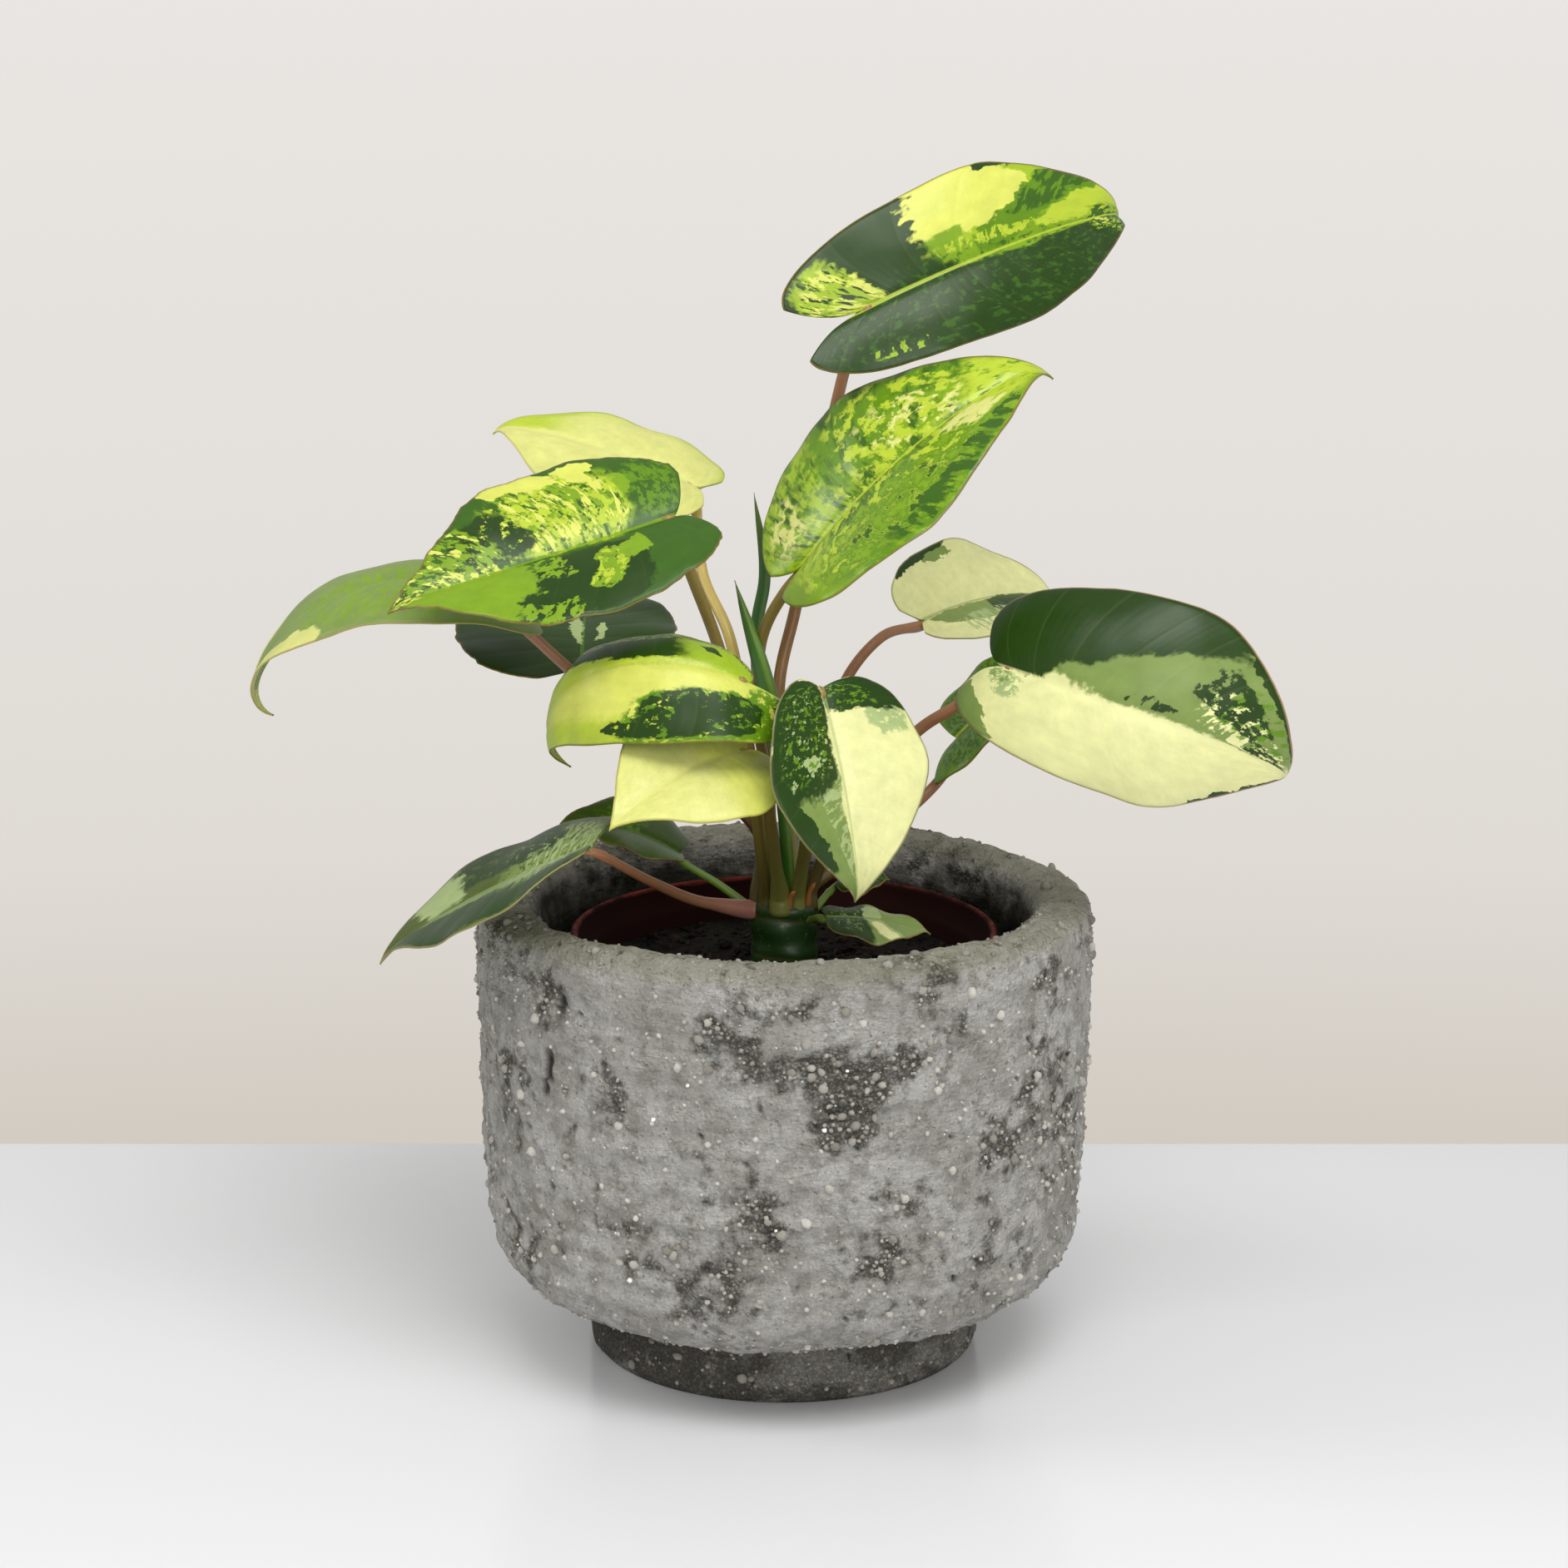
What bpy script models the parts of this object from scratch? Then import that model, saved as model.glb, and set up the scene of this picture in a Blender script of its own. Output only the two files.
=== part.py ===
"""Potted philodendron: a variegated plant in a plastic nursery pot, set inside a coarse grey footed pot.

Units are metres, with +Z up. The origin is the middle of the pot foot's flat underside. The plant faces -Y.
Sizes in the tables are millimetres and degrees, turned into metres and radians where the shapes are made.
"""

from dataclasses import dataclass
from math import cos, pi, radians, sin

import bmesh
import bpy
from mathutils import Matrix, Vector

MM = 0.001

# Outer pot: a thick turned bowl on a plain round foot.
POT_HEIGHT = 131.0
POT_RADIUS = 86.0
POT_MOUTH_RADIUS = 70.0
POT_FLOOR = 14.0
FOOT_RADIUS = 56.0
FOOT_HEIGHT = 18.5
POT_TURNS = 48

# Nursery pot: a standard 12 cm grower's pot standing on the outer pot's floor.
NURSERY_RADIUS = 60.0
NURSERY_BASE_RADIUS = 43.0
NURSERY_WALL = 1.2
NURSERY_RIM_DEPTH = 7.0
NURSERY_TOP = 120.0
NURSERY_TURNS = 40

# Soil and the thick stem that the leaf stalks grow from.
SOIL_TOP = 108.0
SOIL_TURNS = 32
STEM_CENTRE = (0.0, -4.0)
STEM_RADIUS = 9.3
STEM_FOOT = 84.0
STEM_TOP = 130.0

# Leaves.
BLADE_THICKNESS = 0.8
BLADE_ROWS = 12
BLADE_COLUMNS = 8
STALK_SIDES_RESOLUTION = 1
STALK_STEPS = 3
INNER_RING = 3.4
OUTER_RING = 7.3
SIDE_RING = STEM_RADIUS + 0.3


@dataclass
class Blade:
    """One heart-shaped leaf blade: where its notch is, which way it points, its outline and its curves."""

    name: str
    notch: tuple
    heading: float
    pitch: float
    roll: float
    length: float
    left: float
    right: float
    lobe: float = 10.0
    widest: float = 0.33
    lobe_spread: float = 0.38
    droop: float = 25.0
    tip_droop: float = 25.0
    twist: float = 0.0
    swerve: float = 0.0
    raise_left: float = 14.0
    arch_left: float = 28.0
    raise_right: float = 14.0
    arch_right: float = 28.0
    lobe_drop: float = 5.0
    wave: float = 0.8
    skew: float = 0.0


@dataclass
class Stalk:
    """The stalk of the blade with the same number: where it leaves the stem, and the points that it passes."""

    name: str
    ring: float
    bearing: float
    foot: float
    passes: tuple
    base_radius: float = 1.8
    tip_radius: float = 1.6


BLADES = [
    Blade("leaf_blade_01", (21.7, 2, 293), 15, 24, 58, 107, 25, 22, 21, 0.39, 0.34, 48, 95, 10, 8, 20, 22, 10, 33, -12),
    Blade("leaf_blade_02", (5.2, -22, 227.6), -12, 53, 39, 90, 34, 32, 10, 0.31, 0.18, 43, 60, 20, 16, 11, 22, 21, 26, -4),
    Blade("leaf_blade_03", (-25.8, 50, 238.4), 167, 23, -23, 67, 26, 24, 6, 0.32, 0.30, 23, 45, -9, -5, 9, 29, 5, 34, 4),
    Blade("leaf_blade_04", (-30, -27, 240.8), 204, -14, -32, 81, 28, 30, 8, 0.40, 0.42, 6, 28, -2, -8, 17, 25, 17, 29, 5),
    Blade("leaf_blade_05", (-75.3, -2, 213), 186, 31, -6, 95, 33, 30, 10, 0.36, 0.40, 110, 80, 0, 3, 14, 40, 15, 46, 8),
    Blade("leaf_blade_06", (-57, 18, 193), 92, 20, 0, 66, 37, 27, 12, 0.30, 0.33, 28, 20, 0, -3, 14, 25, 16, 27, 4),
    Blade("leaf_blade_07", (-9.6, -52, 201), 203, 26, -50, 91, 22, 20, 11, 0.33, 0.05, 150, 24, -24, -10, 3, 40, -6, 64, 7, skew=9),
    Blade("leaf_blade_08", (-10, -43, 181), 231, 2, -28, 51, 21, 22, 5, 0.32, 0.40, 40, 21, 0, 3, 8, 30, 12, 28, 7),
    Blade("leaf_blade_09", (10, -43, 197), -56, -62, 0, 59, 27, 25, 2, 0.36, 0.30, 30, 28, 17, 7, 12, 29, 27, 25, 12),
    Blade("leaf_blade_10", (58.8, -27, 200), -38, -8, 64, 95, 33.5, 25, 12, 0.49, 0.40, 82, 36, 34, 5, 0, 42, 10, 36, 26),
    Blade("leaf_blade_11", (41, 46, 200), 38, 14, 27, 63, 22, 21, 5, 0.34, 0.28, 36, 19, 7, 0, 23, 14, 21, 24, 15),
    Blade("leaf_blade_12", (49, 23, 170), -8, 47, 29, 44, 17, 16, 7, 0.30, 0.60, 13, 20, 2, 0, 15, 25, 17, 27, 6, skew=-5),
    Blade("leaf_blade_13", (-52, -50, 156), 160, -23, -9, 75, 27, 26, 4, 0.34, 0.40, 15, 18, -17, 0, 15, 29, 14, 26, 8),
    Blade("leaf_blade_14", (-30, 4, 141), 180, 32, -9, 35, 16, 17, 2, 0.34, 0.41, 33, 27, -12, 4, 18, 23, 17, 31, 6),
    Blade("leaf_blade_15", (12, -21, 129), 10, -2, 14, 31, 9, 12, 1, 0.36, 0.42, 21, 22, 8, 2, 7, 36, 10, 27, 4),
    Blade("leaf_blade_16", (15.5, 8, 132), 4, 8, 25, 15, 7, 7, 1, 0.40, 0.42, 20, 15, 0, 0, 12, 28, 12, 28, 4),
]

STALKS = [
    Stalk("leaf_stalk_01", INNER_RING, 10, STEM_TOP, ((0.5, 3, 160), (-1.4, 7, 188), (3.4, 12, 210), (13.9, 13, 264))),
    Stalk("leaf_stalk_02", INNER_RING, 154, STEM_TOP, ((-4.5, -4, 165), (-6.6, -9, 202), (0.5, -17, 219))),
    Stalk("leaf_stalk_03", OUTER_RING, 120, STEM_TOP, ((-7, 6, 150), (-15, 16, 199), (-23, 32, 215)), 1.8, 1.5),
    Stalk("leaf_stalk_04", INNER_RING, 226, STEM_TOP, ((-6.5, -9, 160), (-18, -12, 203), (-25, -20, 224))),
    Stalk("leaf_stalk_05", OUTER_RING, 190, STEM_TOP, ((-6.5, -5, 147), (-14, -5, 157), (-40, -4, 178), (-61, -2, 196)), 1.8, 1.5),
    Stalk("leaf_stalk_06", OUTER_RING, 155, STEM_TOP, ((-7, 0, 147), (-15, 4, 156), (-37, 11, 172)), 1.8, 1.5),
    Stalk("leaf_stalk_07", OUTER_RING, 262, STEM_TOP, ((-3, -22, 150), (-6, -37, 180)), 1.8, 1.4),
    Stalk("leaf_stalk_08", OUTER_RING, 226, STEM_TOP, ((-6.5, -16.5, 147), (-8.5, -31, 168)), 1.8, 1.3),
    Stalk("leaf_stalk_09", OUTER_RING, 300, STEM_TOP, ((6, -18, 150), (7.5, -31, 180), (8, -38, 193)), 1.8, 1.4),
    Stalk("leaf_stalk_10", OUTER_RING, 342, STEM_TOP, ((18, -9, 158), (37, -14, 180), (47, -20, 188))),
    Stalk("leaf_stalk_11", OUTER_RING, 54, STEM_TOP, ((10, 9, 160), (17, 20, 186), (28, 31, 197.5)), 1.8, 1.4),
    Stalk("leaf_stalk_12", OUTER_RING, 18, STEM_TOP, ((20, 6, 140), (44.5, 21.5, 158)), 1.8, 1.4),
    Stalk("leaf_stalk_13", SIDE_RING, 195, 127, ((-17, -12, 129.5), (-25.5, -20, 133.5), (-36.5, -31, 141.5)), 1.9, 1.2),
    Stalk("leaf_stalk_14", SIDE_RING, 160, 126, ((-18, 1, 132),), 1.3, 1.0),
    Stalk("leaf_stalk_15", SIDE_RING, 320, 125, ((9.6, -15.5, 127),), 1.3, 1.0),
    Stalk("leaf_stalk_16", SIDE_RING, 30, 125, ((12, 5.5, 128),), 1.2, 0.9),
]

# Rolled new leaves, still in their sheaths: the points that each passes, from the stem to its tip.
NEW_LEAVES = {
    "new_leaf_1": ((0.5, -0.6, STEM_TOP + 0.3), (-3.5, 4, 150), (-7.6, 8, 203), (-5.3, 9, 219), (-8.3, 9, 242)),
    "new_leaf_2": ((1.6, -7.1, STEM_TOP + 0.3), (-0.5, -9, 160), (-4, -11, 188), (-13.4, -12, 221)),
}

# Short aerial roots that stand up between the stalks on top of the stem.
AERIAL_ROOTS = {
    "aerial_root_1": ((6.4, -9.2, STEM_TOP + 0.3), (7.0, -10.0, 133), (8.6, -11.6, 136)),
    "aerial_root_2": ((1.5, -12.0, STEM_TOP), (1.7, -12.8, 132), (3.0, -14.6, 134.5)),
}


def material(name, colour, roughness, metallic=0.0):
    """A plain Principled finish."""
    finish = bpy.data.materials.new(name)
    finish.use_nodes = True
    shader = finish.node_tree.nodes["Principled BSDF"]
    shader.inputs["Base Color"].default_value = (*colour, 1.0)
    shader.inputs["Roughness"].default_value = roughness
    shader.inputs["Metallic"].default_value = metallic
    return finish


def add(name, mesh, finish, home):
    """Put a mesh into the plant's collection under its own name."""
    item = bpy.data.objects.new(name, mesh)
    item.data.materials.clear()
    item.data.materials.append(finish)
    home.objects.link(item)
    return item


def turned(name, profile, turns, finish, home):
    """A solid of revolution from a profile of (radius, height) in millimetres, run down its outer side."""
    shape = bmesh.new()
    points = [shape.verts.new((radius * MM, 0.0, height * MM)) for radius, height in profile]
    for start, end in zip(points, points[1:]):
        shape.edges.new((start, end))
    mesh = bpy.data.meshes.new(name)
    shape.to_mesh(mesh)
    shape.free()
    item = add(name, mesh, finish, home)
    screw = item.modifiers.new("Turn", "SCREW")
    screw.steps = turns
    screw.render_steps = turns
    screw.use_merge_vertices = True
    screw.merge_threshold = 0.00005
    screw.use_smooth_shade = True
    return item


def arc(centre, radius, start, end, steps):
    """Points along an arc in the profile plane, from start to end degrees."""
    spread = [start + (end - start) * step / steps for step in range(steps + 1)]
    return [(centre[0] + radius * cos(radians(a)), centre[1] + radius * sin(radians(a))) for a in spread]


def outer_pot(finish, home):
    """The coarse grey pot: thick wall, round lip, belly that curves in to a plain round foot."""
    lip = (POT_RADIUS - POT_MOUTH_RADIUS) / 2
    lip_centre = (POT_MOUTH_RADIUS + lip, POT_HEIGHT - lip * 0.72)
    inside = [(0.0, POT_FLOOR), (50.0, POT_FLOOR), (57.0, 18.0), (63.0, 28.0), (67.0, 48.0), (69.0, 80.0)]
    rim = [(x, lip_centre[1] + (y - lip_centre[1]) * 0.72) for x, y in arc(lip_centre, lip, 180, 0, 8)]
    belly = [(POT_RADIUS + 0.2, 108.0), (POT_RADIUS - 0.4, 85.0), (POT_RADIUS - 1.2, 62.0)]
    turn_in = [(POT_RADIUS - 2.2, 45.0), (82.6, 35.0), (80.0, 29.0), (75.5, 24.4), (69.0, 20.8), (61.0, 19.0)]
    foot = [(FOOT_RADIUS + 0.8, FOOT_HEIGHT - 1.2), (FOOT_RADIUS, FOOT_HEIGHT - 4.0), (FOOT_RADIUS - 0.3, 2.0)]
    underside = [(FOOT_RADIUS - 1.8, 0.0), (0.0, 0.0)]
    return turned("outer_pot", inside + rim + belly + turn_in + foot + underside, POT_TURNS, finish, home)


def nursery_pot(finish, home):
    """The thin plastic pot inside, with its deeper band at the rim."""
    base = POT_FLOOR + 0.3
    inner_base = base + NURSERY_WALL
    neck = NURSERY_TOP - NURSERY_RIM_DEPTH
    neck_radius = NURSERY_RADIUS - 2.6
    profile = [
        (0.0, inner_base),
        (NURSERY_BASE_RADIUS - NURSERY_WALL, inner_base),
        (neck_radius - NURSERY_WALL, neck),
        (NURSERY_RADIUS - NURSERY_WALL - 0.8, neck + 1.0),
        (NURSERY_RADIUS - NURSERY_WALL - 0.4, NURSERY_TOP - 0.4),
        (NURSERY_RADIUS - 0.7, NURSERY_TOP),
        (NURSERY_RADIUS, NURSERY_TOP - 0.8),
        (NURSERY_RADIUS - 0.6, neck),
        (neck_radius, neck - 0.8),
        (NURSERY_BASE_RADIUS, base),
        (0.0, base),
    ]
    return turned("nursery_pot", profile, NURSERY_TURNS, finish, home)


def soil(finish, home):
    """The compost: it fills the nursery pot, a little uneven on top, with a plain hole for the stem."""
    bottom = POT_FLOOR + 0.3 + NURSERY_WALL + 0.3
    neck = NURSERY_TOP - NURSERY_RIM_DEPTH
    slope = (NURSERY_RADIUS - 2.6 - NURSERY_BASE_RADIUS) / (neck - POT_FLOOR)
    inset = NURSERY_WALL + 0.7

    def wall(height):
        return NURSERY_BASE_RADIUS - inset + slope * (height - POT_FLOOR - 0.3)

    top = [(0.0, SOIL_TOP + 1.5), (12.0, SOIL_TOP + 1.5), (22.0, SOIL_TOP + 1.0), (34.0, SOIL_TOP), (45.0, SOIL_TOP - 0.5)]
    edge = [(wall(SOIL_TOP - 1.5), SOIL_TOP - 1.5), (wall(bottom), bottom), (0.0, bottom)]
    item = turned("soil", top + edge, SOIL_TURNS, finish, home)
    hole = bmesh.new()
    deep = STEM_FOOT - 0.4
    high = SOIL_TOP + 12.0
    bmesh.ops.create_cone(hole, cap_ends=True, segments=24, radius1=(STEM_RADIUS + 0.35) * MM,
                          radius2=(STEM_RADIUS + 0.35) * MM, depth=(high - deep) * MM,
                          matrix=Matrix.Translation((STEM_CENTRE[0] * MM, STEM_CENTRE[1] * MM, (high + deep) / 2 * MM)))
    mesh = bpy.data.meshes.new("stem_hole")
    hole.to_mesh(mesh)
    hole.free()
    cutter = bpy.data.objects.new("stem_hole", mesh)
    cutter.hide_render = True
    cutter.display_type = "WIRE"
    cutters().objects.link(cutter)
    cut = item.modifiers.new("Stem hole", "BOOLEAN")
    cut.operation = "DIFFERENCE"
    cut.object = cutter
    return item


def main_stem(finish, home):
    """The short thick stem, set in the soil, with two rings where old leaves fell."""
    profile = [
        (0.0, STEM_TOP),
        (STEM_RADIUS - 1.6, STEM_TOP),
        (STEM_RADIUS - 0.4, STEM_TOP - 0.9),
        (STEM_RADIUS, STEM_TOP - 2.4),
        (STEM_RADIUS - 0.5, STEM_TOP - 7.0),
        (STEM_RADIUS, STEM_TOP - 8.5),
        (STEM_RADIUS - 0.4, STEM_TOP - 15.0),
        (STEM_RADIUS - 1.5, STEM_FOOT + 2.0),
        (STEM_RADIUS - 4.0, STEM_FOOT),
        (0.0, STEM_FOOT),
    ]
    item = turned("main_stem", profile, 24, finish, home)
    item.location = (STEM_CENTRE[0] * MM, STEM_CENTRE[1] * MM, 0.0)
    return item


def bezier(points, t):
    """A point on the cubic curve with these four control points."""
    a, b, c, d = (Vector(point) for point in points)
    s = 1.0 - t
    return a * s**3 + b * (3 * s * s * t) + c * (3 * s * t * t) + d * t**3


def margin_point(blade, u, side):
    """The flat outline of one half, from the back of the lobe (u = 0) to the tip (u = 1)."""
    width = blade.left if side > 0 else blade.right
    lobe = blade.lobe + side * blade.skew
    back = (-lobe, blade.lobe_spread * width)
    wide = (blade.widest * blade.length, width)
    turn = 0.42
    if u <= turn:
        rise = (back[0], back[1] + 0.6 * (width - back[1]))
        run = (wide[0] - 0.55 * (wide[0] + lobe), width)
        return bezier((back, rise, run, wide), u / turn)
    run = (wide[0] + 0.42 * (blade.length - wide[0]), width)
    neck = (0.87 * blade.length, 0.10 * width)
    return bezier((wide, run, neck, (blade.length, 0.0)), (u - turn) / (1.0 - turn))


def flat_point(blade, u, v, side):
    """A point of the flat blade: v runs from the midrib (0) along a side vein to the margin (1)."""
    root = Vector((blade.length * u**1.5, 0.0))
    end = margin_point(blade, u, side)
    bow = 4.0 * v * (1.0 - v)
    point = root.lerp(end, v)
    point.x -= bow * sin(pi * u) * 0.035 * blade.length
    point.y -= bow * max(0.0, 1.0 - 6.0 * u) * 0.25 * end.y
    return point


def midrib_frame(blade, x):
    """Place, slope and sideways turn of the midrib at distance x from the notch, by short steps."""
    steps = 24
    place = Vector((0.0, 0.0, 0.0))
    slope = 0.0
    turn = 0.0
    for step in range(steps + 1):
        t = x * step / steps / blade.length
        if t > 0.0:
            slope = -radians(blade.droop * t + blade.tip_droop * max(0.0, (t - 0.8) / 0.2) ** 2)
            turn = radians(blade.swerve * t)
        else:
            slope = radians(blade.lobe_drop * -t * blade.length / blade.lobe)
        if step < steps:
            forward = Vector((cos(slope) * cos(turn), cos(slope) * sin(turn), sin(slope)))
            place += forward * (x / steps)
    return place, slope, turn


def blade_point(blade, u, v, side):
    """A point of the curved blade in the part's frame, in metres."""
    flat = flat_point(blade, u, v, side)
    place, slope, turn = midrib_frame(blade, flat.x)
    width = blade.left if side > 0 else blade.right
    lift = radians(blade.raise_left if side > 0 else blade.raise_right)
    bend = radians(blade.arch_left if side > 0 else blade.arch_right) / width
    across = (sin(lift) - sin(lift - bend * flat.y)) / bend * side
    height = (cos(lift - bend * flat.y) - cos(lift)) / bend
    ripple = sin(2.0 * pi * (2.5 * flat.x / blade.length + 0.2 * side))
    height += blade.wave * ripple * v * v * sin(pi * u)
    twist = radians(blade.twist) * min(1.0, max(0.0, flat.x / blade.length))
    along = Vector((cos(slope) * cos(turn), cos(slope) * sin(turn), sin(slope)))
    sideways = Vector((-sin(turn), cos(turn), 0.0))
    up = along.cross(sideways)
    point = place + (sideways * cos(twist) + up * sin(twist)) * across
    point += (up * cos(twist) - sideways * sin(twist)) * height
    return (Vector(blade.notch) + blade_axes(blade) @ point) * MM


def blade_axes(blade):
    """Columns: along the midrib, to the leaf's left, and out of its upper face."""
    heading, pitch, roll = radians(blade.heading), radians(blade.pitch), radians(blade.roll)
    along = Vector((cos(pitch) * cos(heading), cos(pitch) * sin(heading), sin(pitch)))
    level = Vector((-sin(heading), cos(heading), 0.0))
    upright = along.cross(level)
    left = level * cos(roll) + upright * sin(roll)
    up = upright * cos(roll) - level * sin(roll)
    return Matrix((along, left, up)).transposed()


def leaf_blade(blade, finish, home):
    """A grid bent into the blade, cut into triangles, then thickened alike on both faces."""
    shape = bmesh.new()
    bmesh.ops.create_grid(shape, x_segments=BLADE_ROWS, y_segments=BLADE_COLUMNS, size=1.0)
    for vert in shape.verts:
        u = (vert.co.x + 1.0) / 2.0
        side = 1 if vert.co.y >= 0.0 else -1
        vert.co = blade_point(blade, u, abs(vert.co.y), side)
    bmesh.ops.remove_doubles(shape, verts=shape.verts, dist=0.02 * MM)
    bmesh.ops.triangulate(shape, faces=shape.faces, quad_method="FIXED")
    mesh = bpy.data.meshes.new(blade.name)
    shape.to_mesh(mesh)
    shape.free()
    item = add(blade.name, mesh, finish, home)
    solid = item.modifiers.new("Thickness", "SOLIDIFY")
    solid.thickness = BLADE_THICKNESS * MM
    solid.offset = 0.0
    item.data.shade_smooth()
    return item


def through(points, steps):
    """A smooth run of points through the given ones, by centripetal Catmull-Rom spans."""
    ends = [points[0] * 2 - points[1], *points, points[-1] * 2 - points[-2]]
    run = []
    for a, b, c, d in zip(ends, ends[1:], ends[2:], ends[3:]):
        knots = [0.0]
        for start, end in ((a, b), (b, c), (c, d)):
            knots.append(knots[-1] + (end - start).length ** 0.5)
        for step in range(steps):
            t = knots[1] + (knots[2] - knots[1]) * step / steps
            ab = a.lerp(b, (t - knots[0]) / (knots[1] - knots[0]))
            bc = b.lerp(c, (t - knots[1]) / (knots[2] - knots[1]))
            cd = c.lerp(d, (t - knots[2]) / (knots[3] - knots[2]))
            abc = ab.lerp(bc, (t - knots[0]) / (knots[2] - knots[0]))
            bcd = bc.lerp(cd, (t - knots[1]) / (knots[3] - knots[1]))
            run.append(abc.lerp(bcd, (t - knots[1]) / (knots[2] - knots[1])))
    run.append(points[-1])
    return run


def rod(name, points, base_radius, tip_radius, finish, home):
    """A tapering round stalk through points in millimetres."""
    curve = bpy.data.curves.new(name, "CURVE")
    curve.dimensions = "3D"
    curve.bevel_depth = MM
    curve.bevel_resolution = STALK_SIDES_RESOLUTION
    curve.use_fill_caps = True
    spline = curve.splines.new("POLY")
    spline.points.add(len(points) - 1)
    for number, (knot, point) in enumerate(zip(spline.points, points)):
        knot.co = (*(point * MM), 1.0)
        knot.radius = base_radius + (tip_radius - base_radius) * number / (len(points) - 1)
    item = bpy.data.objects.new(name, curve)
    curve.materials.append(finish)
    home.objects.link(item)
    return item


def leaf_stalk(stalk, blade, finish, home):
    """A stalk from the stem to just under the notch of its blade."""
    bearing = radians(stalk.bearing)
    out = Vector((cos(bearing), sin(bearing), 0.0))
    centre = Vector((*STEM_CENTRE, 0.0))
    on_top = stalk.ring < STEM_RADIUS
    reach = stalk.ring if on_top else stalk.ring + 0.1
    start = centre + out * reach + Vector((0.0, 0.0, stalk.foot + (0.3 if on_top else 0.0)))
    lead = Vector((0.0, 0.0, 2.0)) if on_top else out * 2.0
    under = blade_axes(blade) @ Vector((0.0, 0.0, 1.0))
    passes = [Vector(point) for point in stalk.passes]
    notch = Vector(blade.notch)
    arrive = (notch - passes[-1]).normalized()
    rise = stalk.tip_radius * max(0.0, 1.0 - arrive.dot(under) ** 2) ** 0.5
    end = notch - under * (BLADE_THICKNESS / 2 + 0.3 + rise)
    run = [start, *through([start + lead, *passes, end], STALK_STEPS)]
    return rod(stalk.name, run, stalk.base_radius, stalk.tip_radius, finish, home)


def cutters():
    """The collection of cutting shapes, which are no part of the plant."""
    found = bpy.data.collections.get("cutters")
    if found is None:
        found = bpy.data.collections.new("cutters")
        bpy.context.scene.collection.children.link(found)
    return found


def build():
    """Clear the scene and make every piece."""
    for item in list(bpy.data.objects):
        bpy.data.objects.remove(item, do_unlink=True)
    home = bpy.data.collections.new("potted_philodendron")
    bpy.context.scene.collection.children.link(home)
    green = material("leaf_green", (0.12, 0.30, 0.06), 0.35)
    brown = material("stalk_brown", (0.36, 0.20, 0.09), 0.45)
    outer_pot(material("coarse_grey", (0.45, 0.44, 0.41), 0.95), home)
    nursery_pot(material("red_brown_plastic", (0.28, 0.06, 0.04), 0.45), home)
    soil(material("dark_compost", (0.03, 0.02, 0.015), 1.0), home)
    main_stem(material("stem_green", (0.05, 0.14, 0.04), 0.3), home)
    for blade, stalk in zip(BLADES, STALKS):
        leaf_blade(blade, green, home)
        leaf_stalk(stalk, blade, brown, home)
    for name, points in NEW_LEAVES.items():
        start = Vector(points[0])
        run = [start, *through([start + Vector((0.0, 0.0, 2.0)), *(Vector(point) for point in points[1:])], STALK_STEPS)]
        rod(name, run, 1.8, 0.5, green, home)
    for name, points in AERIAL_ROOTS.items():
        rod(name, through([Vector(point) for point in points], STALK_STEPS), 0.9, 0.5, brown, home)


build()
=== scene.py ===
"""Looks of the potted philodendron: mottled glossy leaves, stalks, compost, plastic pot and coarse grey pot.

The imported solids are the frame. Each class below stands for one sub-assembly: it builds finer meshes in the same
places and dresses them with procedural finishes. Sizes in the tables are millimetres and degrees.
"""

from __future__ import annotations

import logging
import random
from collections.abc import Callable, Iterable, Sequence
from dataclasses import dataclass, field
from enum import Enum
from math import atan2, ceil, cos, exp, pi, radians, sin, sqrt, tau

import bmesh
import bpy
from mathutils import Matrix, Vector, noise

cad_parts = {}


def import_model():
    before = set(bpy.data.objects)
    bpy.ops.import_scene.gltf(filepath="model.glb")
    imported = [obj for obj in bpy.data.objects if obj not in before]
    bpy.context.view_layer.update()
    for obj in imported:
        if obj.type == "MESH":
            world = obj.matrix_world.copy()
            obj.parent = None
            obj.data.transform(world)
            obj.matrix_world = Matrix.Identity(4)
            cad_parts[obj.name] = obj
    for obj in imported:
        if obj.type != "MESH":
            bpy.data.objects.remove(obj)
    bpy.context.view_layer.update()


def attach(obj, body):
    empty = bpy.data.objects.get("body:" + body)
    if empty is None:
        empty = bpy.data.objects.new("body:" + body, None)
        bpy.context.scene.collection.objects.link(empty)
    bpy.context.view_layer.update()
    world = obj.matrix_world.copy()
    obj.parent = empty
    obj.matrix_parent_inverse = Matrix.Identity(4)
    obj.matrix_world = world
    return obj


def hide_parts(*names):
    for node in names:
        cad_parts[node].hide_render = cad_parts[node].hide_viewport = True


MM = 0.001
BODY = "root"
LOG = logging.getLogger("philodendron")

Colour = tuple[float, float, float]


def srgb(red: int, green: int, blue: int) -> Colour:
    """Turn a display colour of 0 to 255 into the linear colour that a shader takes.

    Args:
        red: Red part.
        green: Green part.
        blue: Blue part.

    Returns:
        The linear colour.
    """
    return tuple((part / 255.0) ** 2.2 for part in (red, green, blue))


def smooth_step(low: float, high: float, value: float) -> float:
    """Ease from 0 at low to 1 at high.

    Args:
        low: Value where the result is 0.
        high: Value where the result is 1.
        value: The value to ease.

    Returns:
        A number from 0 to 1.
    """
    t = min(1.0, max(0.0, (value - low) / (high - low)))
    return t * t * (3.0 - 2.0 * t)


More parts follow.
